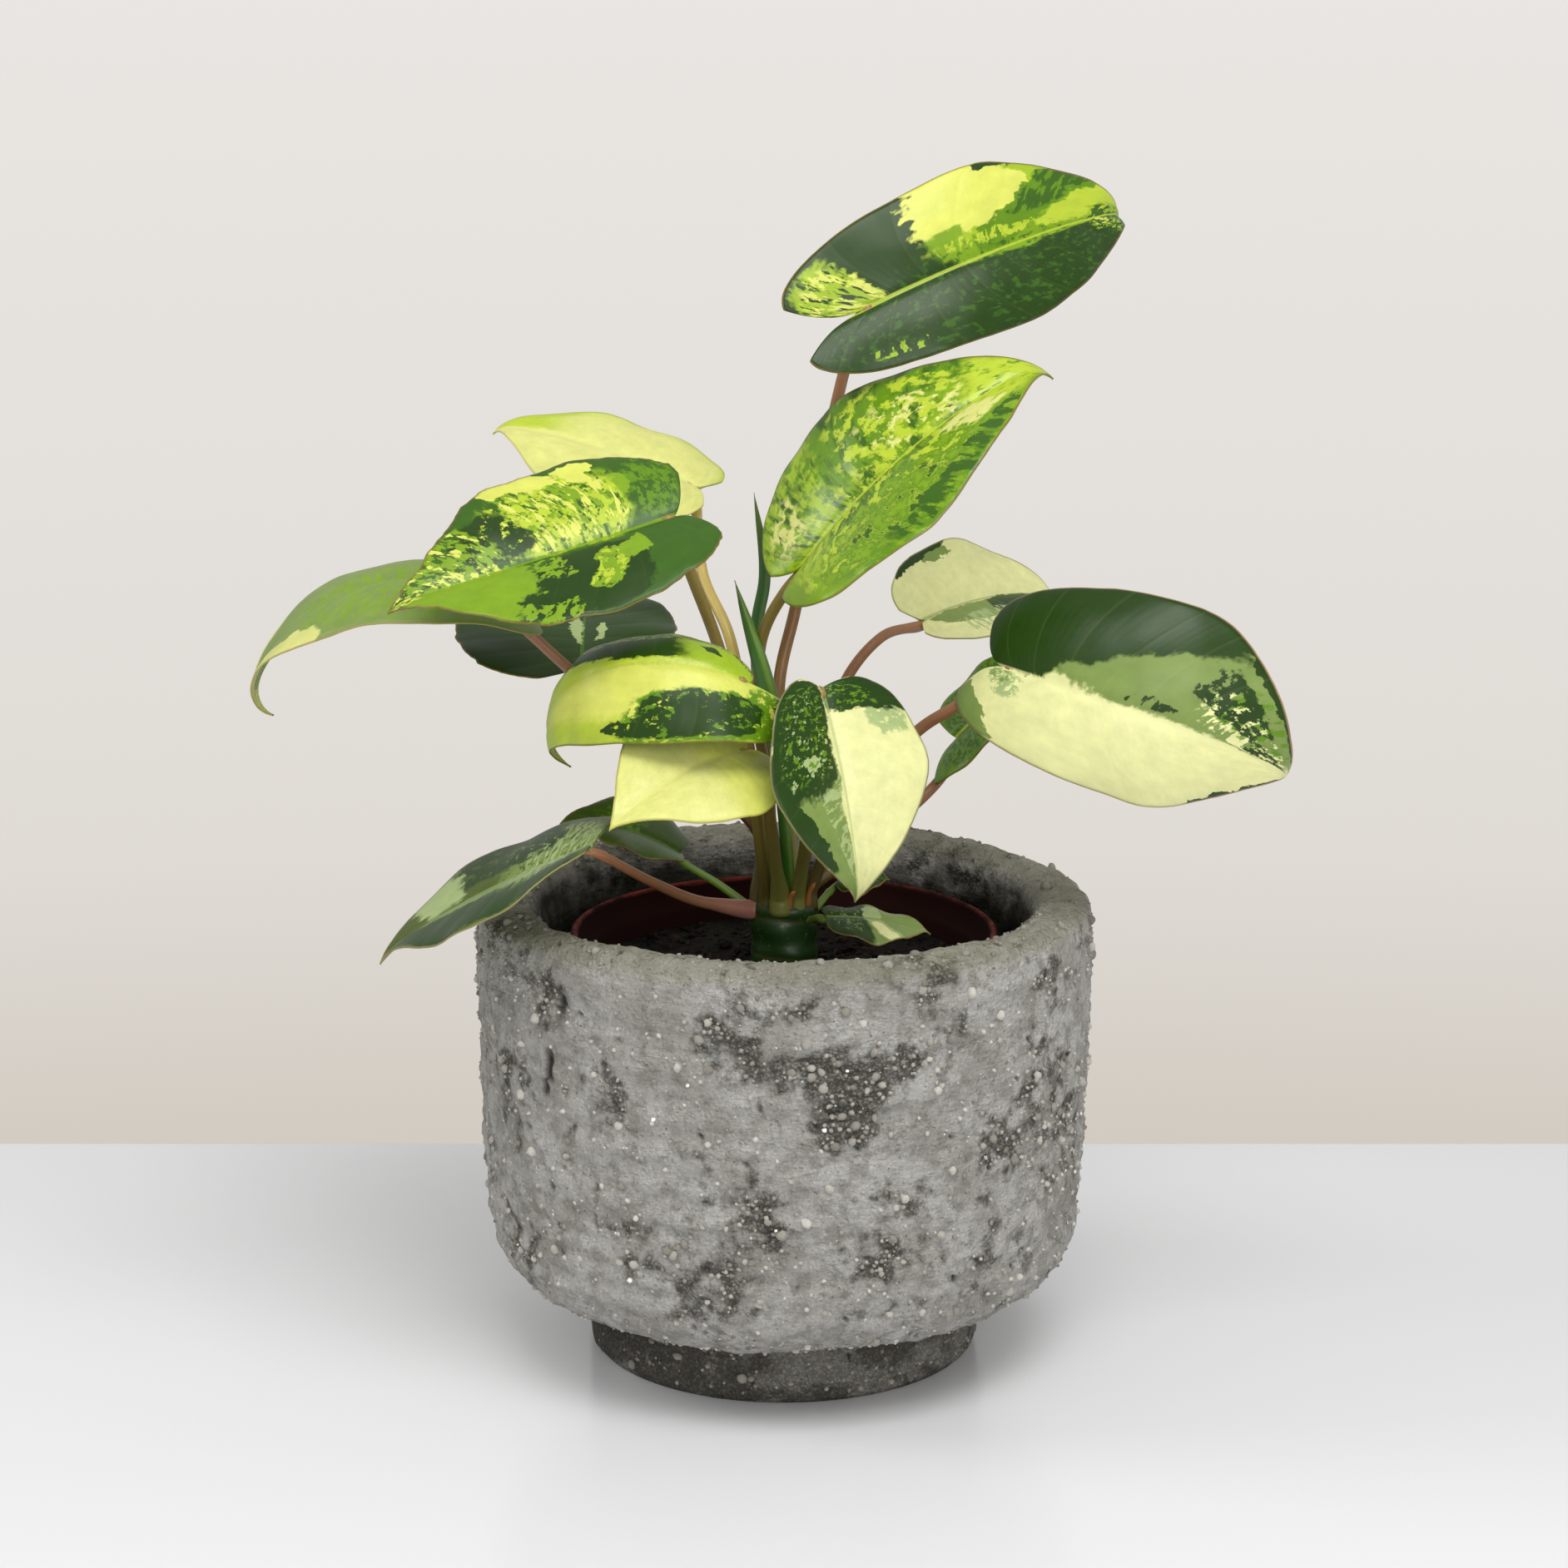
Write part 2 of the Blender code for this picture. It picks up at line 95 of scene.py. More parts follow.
def curve_through(points: Sequence[Vector], steps: int) -> list[Vector]:
    """Run a smooth curve through points, by centripetal Catmull-Rom spans.

    Args:
        points: The points that the curve passes.
        steps: Points on each span.

    Returns:
        The points of the curve, the last given point included.
    """
    ends = [points[0] * 2 - points[1], *points, points[-1] * 2 - points[-2]]
    run = []
    for a, b, c, d in zip(ends, ends[1:], ends[2:], ends[3:]):
        knots = [0.0]
        for start, end in ((a, b), (b, c), (c, d)):
            knots.append(knots[-1] + (end - start).length ** 0.5)
        for step in range(steps):
            t = knots[1] + (knots[2] - knots[1]) * step / steps
            ab = a.lerp(b, (t - knots[0]) / (knots[1] - knots[0]))
            bc = b.lerp(c, (t - knots[1]) / (knots[2] - knots[1]))
            cd = c.lerp(d, (t - knots[2]) / (knots[3] - knots[2]))
            abc = ab.lerp(bc, (t - knots[0]) / (knots[2] - knots[0]))
            bcd = bc.lerp(cd, (t - knots[1]) / (knots[3] - knots[1]))
            run.append(abc.lerp(bcd, (t - knots[1]) / (knots[2] - knots[1])))
    run.append(points[-1])
    return run


def spaced(points: Sequence[Vector], gap: float) -> list[Vector]:
    """Put points at even distances along a run of straight pieces.

    Args:
        points: The run.
        gap: The wanted distance, rounded to fit the whole length.

    Returns:
        The evenly spaced points, both ends included.
    """
    lengths = [(end - start).length for start, end in zip(points, points[1:])]
    count = max(1, ceil(sum(lengths) / gap))
    step = sum(lengths) / count
    run = [points[0]]
    covered, wanted = 0.0, step
    for start, end, length in zip(points, points[1:], lengths):
        while len(run) < count and covered + length >= wanted:
            run.append(start.lerp(end, (wanted - covered) / length))
            wanted += step
        covered += length
    run.append(points[-1])
    return run


class NodeSheet:
    """Short calls that lay out the shader nodes of one material."""

    def __init__(self, name: str) -> None:
        """Start a material with a bare Principled shader.

        Args:
            name: The material's name.
        """
        self.material = bpy.data.materials.new(name)
        self.material.use_nodes = True
        self.tree = self.material.node_tree
        self.shader = self.tree.nodes["Principled BSDF"]

    def node(self, kind: str, **settings: object) -> bpy.types.Node:
        """Add a node and set its properties."""
        made = self.tree.nodes.new(kind)
        for key, value in settings.items():
            setattr(made, key, value)
        return made

    def feed(self, socket: bpy.types.NodeSocket, value: object) -> None:
        """Link an output to a socket, or set the socket's own value."""
        if isinstance(value, bpy.types.NodeSocket):
            self.tree.links.new(value, socket)
        elif isinstance(value, tuple) and socket.type == "RGBA":
            socket.default_value = (*value, 1.0)
        else:
            socket.default_value = value

    def set(self, **values: object) -> None:
        """Feed the shader's own inputs, named with underscores for spaces."""
        for key, value in values.items():
            self.feed(self.shader.inputs[key.replace("_", " ")], value)

    def math(self, operation: str, *values: object, clamp: bool = False) -> bpy.types.NodeSocket:
        """Add a Math node.

        Args:
            operation: The node's operation.
            *values: Numbers or outputs, in the order of its sockets.
            clamp: Keep the result from 0 to 1.

        Returns:
            Its result.
        """
        made = self.node("ShaderNodeMath", operation=operation, use_clamp=clamp)
        for socket, value in zip(made.inputs, values):
            self.feed(socket, value)
        return made.outputs[0]

    def vector(self, operation: str, *values: object) -> bpy.types.NodeSocket:
        """Add a Vector Math node and give its vector result."""
        made = self.node("ShaderNodeVectorMath", operation=operation)
        for socket, value in zip(made.inputs, values):
            self.feed(socket, value)
        return made.outputs[0]

    def mix(self, factor: object, first: object, second: object, blend: str = "MIX") -> bpy.types.NodeSocket:
        """Mix two colours.

        Args:
            factor: Share of the second colour.
            first: Colour or output.
            second: Colour or output.
            blend: How they blend.

        Returns:
            The mixed colour.
        """
        made = self.node("ShaderNodeMix", data_type="RGBA", blend_type=blend)
        self.feed(made.inputs["Factor"], factor)
        self.feed(made.inputs[6], first)
        self.feed(made.inputs[7], second)
        return made.outputs[2]

    def ease(self, value: object, low: float, high: float) -> bpy.types.NodeSocket:
        """Ease a value from 0 at low to 1 at high."""
        made = self.node("ShaderNodeMapRange", interpolation_type="SMOOTHSTEP")
        self.feed(made.inputs["Value"], value)
        if low < high:
            made.inputs["From Min"].default_value = low
            made.inputs["From Max"].default_value = high
            return made.outputs[0]
        made.inputs["From Min"].default_value = high
        made.inputs["From Max"].default_value = low
        made.inputs["To Min"].default_value = 1.0
        made.inputs["To Max"].default_value = 0.0
        return made.outputs[0]

    def scaled(self, value: object, low: float, high: float) -> bpy.types.NodeSocket:
        """Stretch a value of 0 to 1 between two others."""
        return self.math("MULTIPLY_ADD", value, high - low, low)

    def noise(self, place: object, scale: float, detail: float = 2.0, roughness: float = 0.5) -> bpy.types.Node:
        """Add a Noise Texture node read at a place."""
        made = self.node("ShaderNodeTexNoise")
        self.feed(made.inputs["Vector"], place)
        made.inputs["Scale"].default_value = scale
        made.inputs["Detail"].default_value = detail
        made.inputs["Roughness"].default_value = roughness
        return made

    def channels(self, place: object, detail: float, roughness: float) -> tuple[bpy.types.NodeSocket, ...]:
        """Give three unlike noises read at one place."""
        parted = self.node("ShaderNodeSeparateXYZ")
        self.feed(parted.inputs[0], self.noise(place, 1.0, detail, roughness).outputs["Color"])
        return tuple(parted.outputs)

    def cells(self, place: object, scale: float, feature: str = "F1") -> bpy.types.Node:
        """Add a Voronoi Texture node read at a place."""
        made = self.node("ShaderNodeTexVoronoi", feature=feature)
        self.feed(made.inputs["Vector"], place)
        made.inputs["Scale"].default_value = scale
        return made

    def attribute(self, name: str) -> bpy.types.Node:
        """Add an Attribute node that reads one of the mesh's own values."""
        return self.node("ShaderNodeAttribute", attribute_type="GEOMETRY", attribute_name=name)

    def place(self) -> bpy.types.NodeSocket:
        """Give the Object coordinates, in metres."""
        return self.node("ShaderNodeTexCoord").outputs["Object"]

    def bump(self, height: object, strength: float, distance: float, under: object = None) -> bpy.types.NodeSocket:
        """Add a Bump node.

        Args:
            height: The height output.
            strength: How strong it is.
            distance: Its depth in metres.
            under: A bump that it lies on.

        Returns:
            The normal.
        """
        made = self.node("ShaderNodeBump")
        made.inputs["Strength"].default_value = strength
        made.inputs["Distance"].default_value = distance
        self.feed(made.inputs["Height"], height)
        if under is not None:
            self.feed(made.inputs["Normal"], under)
        return made.outputs[0]


class Tint(Enum):
    """The colours that leaf blades are marbled with."""

    DARK = srgb(38, 64, 15)
    DEEP = srgb(58, 94, 26)
    MID = srgb(94, 134, 26)
    GRASS = srgb(120, 155, 32)
    SAGE = srgb(122, 144, 76)
    GREY = srgb(162, 180, 122)
    LEAFY = srgb(148, 176, 40)
    LIME = srgb(174, 194, 56)
    YELLOW = srgb(206, 211, 98)
    BUTTER = srgb(209, 211, 126)
    CREAM = srgb(222, 223, 160)
    OLIVE = srgb(76, 92, 30)
    DRY = srgb(150, 100, 56)


class Grain(Enum):
    """How a patch covers its place: whole, or broken into flecks."""

    WHOLE = 0
    FLECKED = 1
    STREAKED = 2


@dataclass(frozen=True)
class Patch:
    """One patch of colour on a blade.

    u runs from the back of the lobes (0) to the tip (1). v runs from the midrib (0) to the left margin (1) or to
    the right margin (-1), so a side vein is a line of equal u.
    """

    tint: Tint
    u: float
    v: float
    half_u: float
    half_v: float
    lean: float = 0.0
    grain: Grain = Grain.WHOLE
    cover: float = 0.5
    soft: float = 0.05
    fuzz: float = 0.016


@dataclass(frozen=True)
class LeafFinish:
    """The marbling and gloss of one blade."""

    base: Tint
    patches: tuple[Patch, ...] = ()
    rib: Tint = Tint.LIME
    rib_share: float = 0.75
    ragged: float = 1.0
    seed: float = 0.0
    gloss: float = 0.3
    edge: Colour = srgb(128, 104, 56)
    veins: float = 9.0
    grain: float = 1.0
    pucker: float = 0.3

    def patch_mask(self, sheet: NodeSheet, patch: Patch, u: object, v: object, flecks: object, streaks: object) -> object:
        """Give the share of one patch at each point: a rounded box in u and v with torn edges.

        Args:
            sheet: The material's nodes.
            patch: The patch.
            u: Torn u.
            v: Torn v.
            flecks: Three fleck noises.
            streaks: Three streak noises.

        Returns:
            The mask output.
        """
        du = sheet.math("MULTIPLY_ADD", u, 1.0 / patch.half_u, -patch.u / patch.half_u)
        if patch.lean:
            shift = patch.lean / patch.half_u
            du = sheet.math("ADD", du, sheet.math("MULTIPLY_ADD", v, -shift, patch.v * shift))
        dv = sheet.math("MULTIPLY_ADD", v, 1.0 / patch.half_v, -patch.v / patch.half_v)
        du = sheet.math("MULTIPLY", du, du)
        dv = sheet.math("MULTIPLY", dv, dv)
        reach = sheet.math("ADD", sheet.math("MULTIPLY", du, du), sheet.math("MULTIPLY", dv, dv))
        mask = sheet.ease(reach, (1.0 + patch.soft) ** 4, (1.0 - patch.soft) ** 4)
        if patch.grain is Grain.WHOLE:
            return mask
        channel = self.patches.index(patch) % 3
        broken = (flecks if patch.grain is Grain.FLECKED else streaks)[channel]
        limit = 0.5 + (0.5 - patch.cover) * 0.36
        return sheet.math("MULTIPLY", mask, sheet.ease(broken, limit - patch.fuzz, limit + patch.fuzz))

    def material(self, name: str) -> bpy.types.Material:
        """Lay out the blade's material from its own values: leaf (u, v, underside) and flat (x, y, edge) in mm.

        Args:
            name: The material's name.

        Returns:
            The material.
        """
        sheet = NodeSheet(name)
        leaf = sheet.node("ShaderNodeSeparateXYZ")
        sheet.feed(leaf.inputs[0], sheet.attribute("leaf").outputs["Vector"])
        flat = sheet.node("ShaderNodeSeparateXYZ")
        sheet.feed(flat.inputs[0], sheet.attribute("flat").outputs["Vector"])
        u, v, under = leaf.outputs
        _, across, edge = flat.outputs

        def grid(u_scale: float, v_scale: float, offset: float) -> object:
            """Place for a noise that is finer across the side veins than along them."""
            joined = sheet.node("ShaderNodeCombineXYZ")
            sheet.feed(joined.inputs[0], sheet.math("MULTIPLY", u, u_scale))
            sheet.feed(joined.inputs[1], sheet.math("MULTIPLY", v, v_scale))
            joined.inputs[2].default_value = self.seed + offset
            return joined.outputs[0]

        wide = sheet.node("ShaderNodeSeparateXYZ")
        sheet.feed(wide.inputs[0], sheet.noise(grid(7.0, 2.6, 0.0), 1.0, 3.0, 0.6).outputs["Color"])
        fine = sheet.node("ShaderNodeSeparateXYZ")
        sheet.feed(fine.inputs[0], sheet.noise(grid(52.0, 12.0, 3.0), 1.0, 2.0, 0.6).outputs["Color"])
        torn_u = sheet.math("MULTIPLY_ADD", sheet.math("SUBTRACT", wide.outputs[0], 0.5), 0.16 * self.ragged, u)
        torn_u = sheet.math("MULTIPLY_ADD", sheet.math("SUBTRACT", fine.outputs[0], 0.5), 0.045 * self.ragged, torn_u)
        torn_v = sheet.math("MULTIPLY_ADD", sheet.math("SUBTRACT", wide.outputs[1], 0.5), 0.34 * self.ragged, v)
        torn_v = sheet.math("MULTIPLY_ADD", sheet.math("SUBTRACT", fine.outputs[1], 0.5), 0.12 * self.ragged, torn_v)
        flecks = sheet.channels(grid(40.0 * self.grain, 10.0 * self.grain, 7.0), 4.0, 0.64)
        streaks = sheet.channels(grid(56.0 * self.grain, 4.2 * self.grain, 11.0), 4.0, 0.6)
        colour = self.base.value
        for patch in self.patches:
            mask = self.patch_mask(sheet, patch, torn_u, torn_v, flecks, streaks)
            colour = sheet.mix(mask, colour, patch.tint.value)
        tone = sheet.noise(grid(18.0, 5.0, 17.0), 1.0, 4.0, 0.6).outputs["Fac"]
        colour = sheet.mix(0.5, colour, sheet.mix(tone, (0.55, 0.58, 0.5), (1.4, 1.36, 1.35)), "MULTIPLY")
        comb = sheet.math("ABSOLUTE", sheet.math("SINE", sheet.math("MULTIPLY", u, self.veins * pi)))
        side_vein = sheet.ease(comb, 0.14, 0.0)
        threads = sheet.math("ABSOLUTE", sheet.math("SINE", sheet.math("MULTIPLY", u, self.veins * pi * 6.0)))
        colour = sheet.mix(sheet.math("MULTIPLY", side_vein, 0.05), colour, sheet.mix(0.5, colour, self.rib.value))
        taper = sheet.math("MULTIPLY_ADD", u, -0.6, 0.8)
        beside_rib = sheet.math("DIVIDE", sheet.math("ABSOLUTE", across), taper)
        rib_mask = sheet.math("MULTIPLY", sheet.ease(beside_rib, 1.15, 0.55), self.rib_share)
        colour = sheet.mix(rib_mask, colour, self.rib.value)
        pale = sheet.mix(0.32, colour, (0.42, 0.50, 0.24))
        colour = sheet.mix(under, colour, pale)
        colour = sheet.mix(sheet.math("MULTIPLY", sheet.ease(edge, 0.55, 0.2), 0.75), colour, self.edge)
        gloss = sheet.scaled(tone, self.gloss - 0.06, self.gloss + 0.08)
        gloss = sheet.math("MULTIPLY_ADD", under, 0.18, gloss)
        relief = sheet.math("MULTIPLY_ADD", threads, 0.25, sheet.math("MULTIPLY", comb, 0.5))
        relief = sheet.math("MULTIPLY_ADD", flecks[0], 0.35, relief)
        sheet.set(
            Base_Color=colour,
            Roughness=gloss,
            Normal=sheet.bump(relief, 0.16, 0.0003),
            Subsurface_Weight=0.12,
            Subsurface_Radius=(0.6, 1.0, 0.2),
            Subsurface_Scale=0.001,
            Specular_IOR_Level=0.32,
        )
        return sheet.material


def stroke(bend: bmesh.types.BMesh, centres: Sequence[Vector], radii: Callable[[float, float], float], sides: int) -> None:
    """Sweep a round section along a run of points, by extruding one ring after another, and close both ends.

    Args:
        bend: The mesh to add to. Its vertices get the values along (0 to 1) and around (0 to 1).
        centres: The run, in metres.
        radii: Radius at a share of the length and an angle round it, in metres.
        sides: Sides of the section.
    """
    along = bend.verts.layers.float["along"]
    around = bend.verts.layers.float["around"]
    tangents = [
        (centres[min(i + 1, len(centres) - 1)] - centres[max(i - 1, 0)]).normalized() for i in range(len(centres))
    ]
    right = tangents[0].orthogonal().normalized()
    if abs(tangents[0].z) < 0.95:
        right = tangents[0].cross(Vector((0.0, 0.0, 1.0))).normalized()
    start = bmesh.ops.create_circle(bend, cap_ends=False, segments=sides, radius=1.0)["verts"]
    ring = list(start)
    rings = [ring]
    for _ in centres[1:]:
        edges = [bend.edges.get((a, b)) for a, b in zip(ring, ring[1:] + ring[:1])]
        grown = bmesh.ops.extrude_edge_only(bend, edges=edges)["geom"]
        fresh = {item for item in grown if isinstance(item, bmesh.types.BMVert)}
        following = []
        for vert in ring:
            partner = next(e.other_vert(vert) for e in vert.link_edges if e.other_vert(vert) in fresh)
            following.append(partner)
        ring = following
        rings.append(ring)
    for number, (centre, tangent, ring) in enumerate(zip(centres, tangents, rings)):
        right = (right - tangent * right.dot(tangent)).normalized()
        up = tangent.cross(right)
        share = number / (len(centres) - 1)
        for side, vert in enumerate(ring):
            angle = tau * side / sides
            vert.co = centre + (right * cos(angle) + up * sin(angle)) * radii(share, angle)
            vert[along] = share
            vert[around] = side / sides
    bmesh.ops.contextual_create(bend, geom=rings[0])
    bmesh.ops.contextual_create(bend, geom=rings[-1])


def new_shape(*layers: str, vectors: Iterable[str] = ()) -> bmesh.types.BMesh:
    """Start a mesh whose vertices carry named values.

    Args:
        *layers: Names of single values.
        vectors: Names of vector values.

    Returns:
        The empty mesh.
    """
    shape = bmesh.new()
    for layer in layers:
        shape.verts.layers.float.new(layer)
    for layer in vectors:
        shape.verts.layers.float_vector.new(layer)
    return shape


def gather(whole: bmesh.types.BMesh, batch: bmesh.types.BMesh) -> None:
    """Add a batch to the whole mesh and free it. Operators slow down as a mesh grows, so grains come in batches."""
    mesh = bpy.data.meshes.new("batch")
    batch.to_mesh(mesh)
    batch.free()
    whole.from_mesh(mesh)
    bpy.data.meshes.remove(mesh)


def wrap(shape: bmesh.types.BMesh, run: Sequence[Vector], turns: int) -> None:
    """Wrap a grid round the upright axis along a section, and close its seam and poles.

    Args:
        shape: The mesh to add to.
        run: The section in millimetres, x out from the axis and y up.
        turns: Steps round the axis.
    """
    bmesh.ops.create_grid(shape, x_segments=turns, y_segments=len(run) - 1, size=0.5)
    for vert in shape.verts:
        angle = tau * (vert.co.x + 0.5)
        point = run[round((vert.co.y + 0.5) * (len(run) - 1))]
        vert.co = Vector((point.x * cos(angle), point.x * sin(angle), point.y)) * MM
    bmesh.ops.remove_doubles(shape, verts=shape.verts, dist=0.02 * MM)
    bmesh.ops.recalc_face_normals(shape, faces=shape.faces)
    shape.normal_update()


def finished(name: str, shape: bmesh.types.BMesh, material: bpy.types.Material, flat: bool = False) -> bpy.types.Object:
    """Turn a mesh under construction into a piece of the plant.

    Args:
        name: The piece's name.
        shape: The mesh, which is freed.
        material: Its finish.
        flat: Leave its faces flat shaded.

    Returns:
        The piece.
    """
    mesh = bpy.data.meshes.new(name)
    shape.to_mesh(mesh)
    shape.free()
    mesh.materials.append(material)
    piece = bpy.data.objects.new(name, mesh)
    bpy.context.scene.collection.objects.link(piece)
    if not flat:
        mesh.shade_smooth()
    return piece


def register(piece: bpy.types.Object, slot: str, *nodes: str) -> None:
    """Attach a piece to the frame's body, hide the solids that it replaces, and log it.

    Args:
        piece: The piece.
        slot: Not used.
        *nodes: The solids that it replaces.
    """
    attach(piece, BODY)
    if nodes:
        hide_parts(*nodes)
    LOG.info("%s: %d faces, in place of %s", piece.name, len(piece.data.polygons), ", ".join(nodes) or "nothing")


@dataclass(frozen=True)
class StalkFinish:
    """A satin stalk whose colour changes from its base to its blade."""

    base: Colour = srgb(140, 134, 72)
    middle: Colour = srgb(146, 106, 66)
    tip: Colour = srgb(160, 112, 76)
    gloss: float = 0.36

    def material(self, name: str) -> bpy.types.Material:
        """Lay out the stalk's material along its own length."""
        sheet = NodeSheet(name)
        along = sheet.attribute("along").outputs["Fac"]
        around = sheet.attribute("around").outputs["Fac"]
        colour = sheet.mix(sheet.ease(along, 0.05, 0.45), self.base, self.middle)
        colour = sheet.mix(sheet.ease(along, 0.5, 0.95), colour, self.tip)
        lines = sheet.node("ShaderNodeCombineXYZ")
        sheet.feed(lines.inputs[0], sheet.math("MULTIPLY", around, 22.0))
        sheet.feed(lines.inputs[1], sheet.math("MULTIPLY", along, 5.0))
        fibre = sheet.noise(lines.outputs[0], 1.0, 3.0, 0.6).outputs["Fac"]
        blotch = sheet.noise(sheet.place(), 260.0, 3.0, 0.6).outputs["Fac"]
        colour = sheet.mix(0.5, colour, sheet.mix(fibre, (0.62, 0.6, 0.58), (1.3, 1.32, 1.3)), "MULTIPLY")
        colour = sheet.mix(0.35, colour, sheet.mix(blotch, (0.6, 0.66, 0.6), (1.4, 1.3, 1.3)), "MULTIPLY")
        sheet.set(
            Base_Color=colour,
            Roughness=sheet.scaled(blotch, self.gloss - 0.08, self.gloss + 0.12),
            Normal=sheet.bump(fibre, 0.25, 0.0003),
            Subsurface_Weight=0.1,
            Subsurface_Radius=(1.0, 0.6, 0.2),
            Subsurface_Scale=0.001,
        )
        return sheet.material


STEM_CENTRE = Vector((0.0, -4.0, 0.0))
STEM_TOP = 130.0
BLADE_THICKNESS = 0.8
RINGS = {"inner": 3.4, "outer": 7.3, "side": 8.2}


@dataclass
class Leaf:
    """One leaf: the heart-shaped blade and its stalk. The first fields are the blade's form, as in the solids."""

    number: int
    notch: tuple[float, float, float]
    heading: float
    pitch: float
    roll: float
    length: float
    left: float
    right: float
    lobe: float
    widest: float
    lobe_spread: float
    droop: float
    tip_droop: float
    twist: float
    swerve: float
    raise_left: float
    arch_left: float
    raise_right: float
    arch_right: float
    lobe_drop: float
    ring: str
    bearing: float
    foot: float
    passes: tuple[tuple[float, float, float], ...]
    base_radius: float
    tip_radius: float
    slot: str
    finish: LeafFinish
    stalk_finish: StalkFinish = StalkFinish()
    sheath: float = 2.6
    sheath_share: float = 0.12
    notched: float = 0.3
    wave: float = 0.8
    skew: float = 0.0
    rows: int = 110
    columns: int = 22
    midrib: list[tuple[Vector, float, float]] = field(default_factory=list)

    MIDRIB_POINTS = 240

    def slope_at(self, x: float) -> tuple[float, float]:
        """Give the midrib's slope and sideways turn at a distance from the notch."""
        t = x / self.length
        if t > 0.0:
            slope = -radians(self.droop * t + self.tip_droop * max(0.0, (t - 0.8) / 0.2) ** 2)
            return slope, radians(self.swerve * t)
        return radians(self.lobe_drop * -x / self.lobe), 0.0

    def midrib_start(self) -> float:
        """Give how far behind the notch the midrib's line begins, to cover the longer lobe."""
        return -1.3 * (self.lobe + abs(self.skew)) - 2.0

    def draw_midrib(self) -> None:
        """Work out the curved midrib once, from behind the lobes to the tip, by short steps."""
        start = self.midrib_start()
        step = (self.length * 1.01 - start) / self.MIDRIB_POINTS
        places = [Vector((0.0, 0.0, 0.0))]
        for number in range(self.MIDRIB_POINTS):
            slope, turn = self.slope_at(start + (number + 0.5) * step)
            places.append(places[-1] + Vector((cos(slope) * cos(turn), cos(slope) * sin(turn), sin(slope))) * step)
        at_notch = -start / step
        low = int(at_notch)
        origin = places[low].lerp(places[low + 1], at_notch - low)
        self.midrib = [
            (place - origin, *self.slope_at(start + number * step)) for number, place in enumerate(places)
        ]

    def midrib_at(self, x: float) -> tuple[Vector, float, float]:
        """Give the midrib's place, slope and turn at a distance from the notch."""
        start = self.midrib_start()
        step = (self.length * 1.01 - start) / self.MIDRIB_POINTS
        spot = min(self.MIDRIB_POINTS - 1.001, max(0.0, (x - start) / step))
        low = int(spot)
        share = spot - low
        place_a, slope_a, turn_a = self.midrib[low]
        place_b, slope_b, turn_b = self.midrib[low + 1]
        return place_a.lerp(place_b, share), slope_a + (slope_b - slope_a) * share, turn_a + (turn_b - turn_a) * share

    def margin_point(self, u: float, side: int) -> Vector:
        """Give the flat outline of one half, from the back of the lobe (u = 0) to the tip (u = 1)."""
        width = self.left if side > 0 else self.right
        lobe = self.lobe + side * self.skew
        back = Vector((-lobe, self.lobe_spread * width))
        wide = Vector((self.widest * self.length, width))
        turn = 0.42
        if u <= turn:
            rise = Vector((back.x, back.y + 0.6 * (width - back.y)))
            run = Vector((wide.x - 0.55 * (wide.x + lobe), width))
            return self.bezier(back, rise, run, wide, u / turn)
        run = Vector((wide.x + 0.42 * (self.length - wide.x), width))
        neck = Vector((0.87 * self.length, 0.10 * width))
        return self.bezier(wide, run, neck, Vector((self.length, 0.0)), (u - turn) / (1.0 - turn))

    @staticmethod
    def bezier(a: Vector, b: Vector, c: Vector, d: Vector, t: float) -> Vector:
        """Give a point on the cubic curve with these four control points."""
        s = 1.0 - t
        return a * s**3 + b * (3.0 * s * s * t) + c * (3.0 * s * t * t) + d * t**3

    def flat_point(self, u: float, v: float, side: int) -> tuple[Vector, float]:
        """Give a point of the flat blade and its distance from the margin, in millimetres.

        Args:
            u: From the back of the lobe (0) to the tip (1).
            v: From the midrib (0) along a side vein to the margin (1).
            side: 1 for the left half and -1 for the right.

        Returns:
            The point, with y away from the midrib, and the distance to the margin.
        """
        root = Vector((self.length * u**1.5, 0.0))
        end = self.margin_point(u, side)
        nibble = noise.noise(Vector((u * 14.0, side * 3.0, self.number))) * 0.5
        nibble += noise.noise(Vector((u * 45.0, side * 3.0, self.number + 20.0))) * 0.25
        end += (end - root).normalized() * nibble * self.notched * min(1.0, (1.0 - u) * 12.0)
        bow = 4.0 * v * (1.0 - v)
        point = root.lerp(end, v)
        point.x -= bow * sin(pi * u) * 0.035 * self.length
        point.y -= bow * max(0.0, 1.0 - 6.0 * u) * 0.25 * end.y
        return point, (end - root).length * (1.0 - v)

    def axes(self) -> Matrix:
        """Give the blade's own axes: along the midrib, to its left, and out of its upper face."""
        heading, pitch, roll = radians(self.heading), radians(self.pitch), radians(self.roll)
        along = Vector((cos(pitch) * cos(heading), cos(pitch) * sin(heading), sin(pitch)))
        level = Vector((-sin(heading), cos(heading), 0.0))
        upright = along.cross(level)
        left = level * cos(roll) + upright * sin(roll)
        up = upright * cos(roll) - level * sin(roll)
        return Matrix((along, left, up)).transposed()

    def relief(self, flat: Vector, u: float, v: float) -> float:
        """Give the height of the small forms on the upper face: sunk midrib, side veins and puckers, in millimetres."""
        channel = -0.55 * exp(-((flat.y / 1.3) ** 2)) * (1.0 - 0.6 * u)
        vein = -0.13 * (1.0 - abs(sin(self.finish.veins * pi * u))) ** 3 * min(1.0, 3.0 * v) * (1.0 - 0.5 * v)
        pucker = self.finish.pucker * noise.noise(Vector((flat.x / 9.0, flat.y / 11.0, self.number * 7.0)))
        return channel + vein + pucker * min(1.0, 2.0 * v)

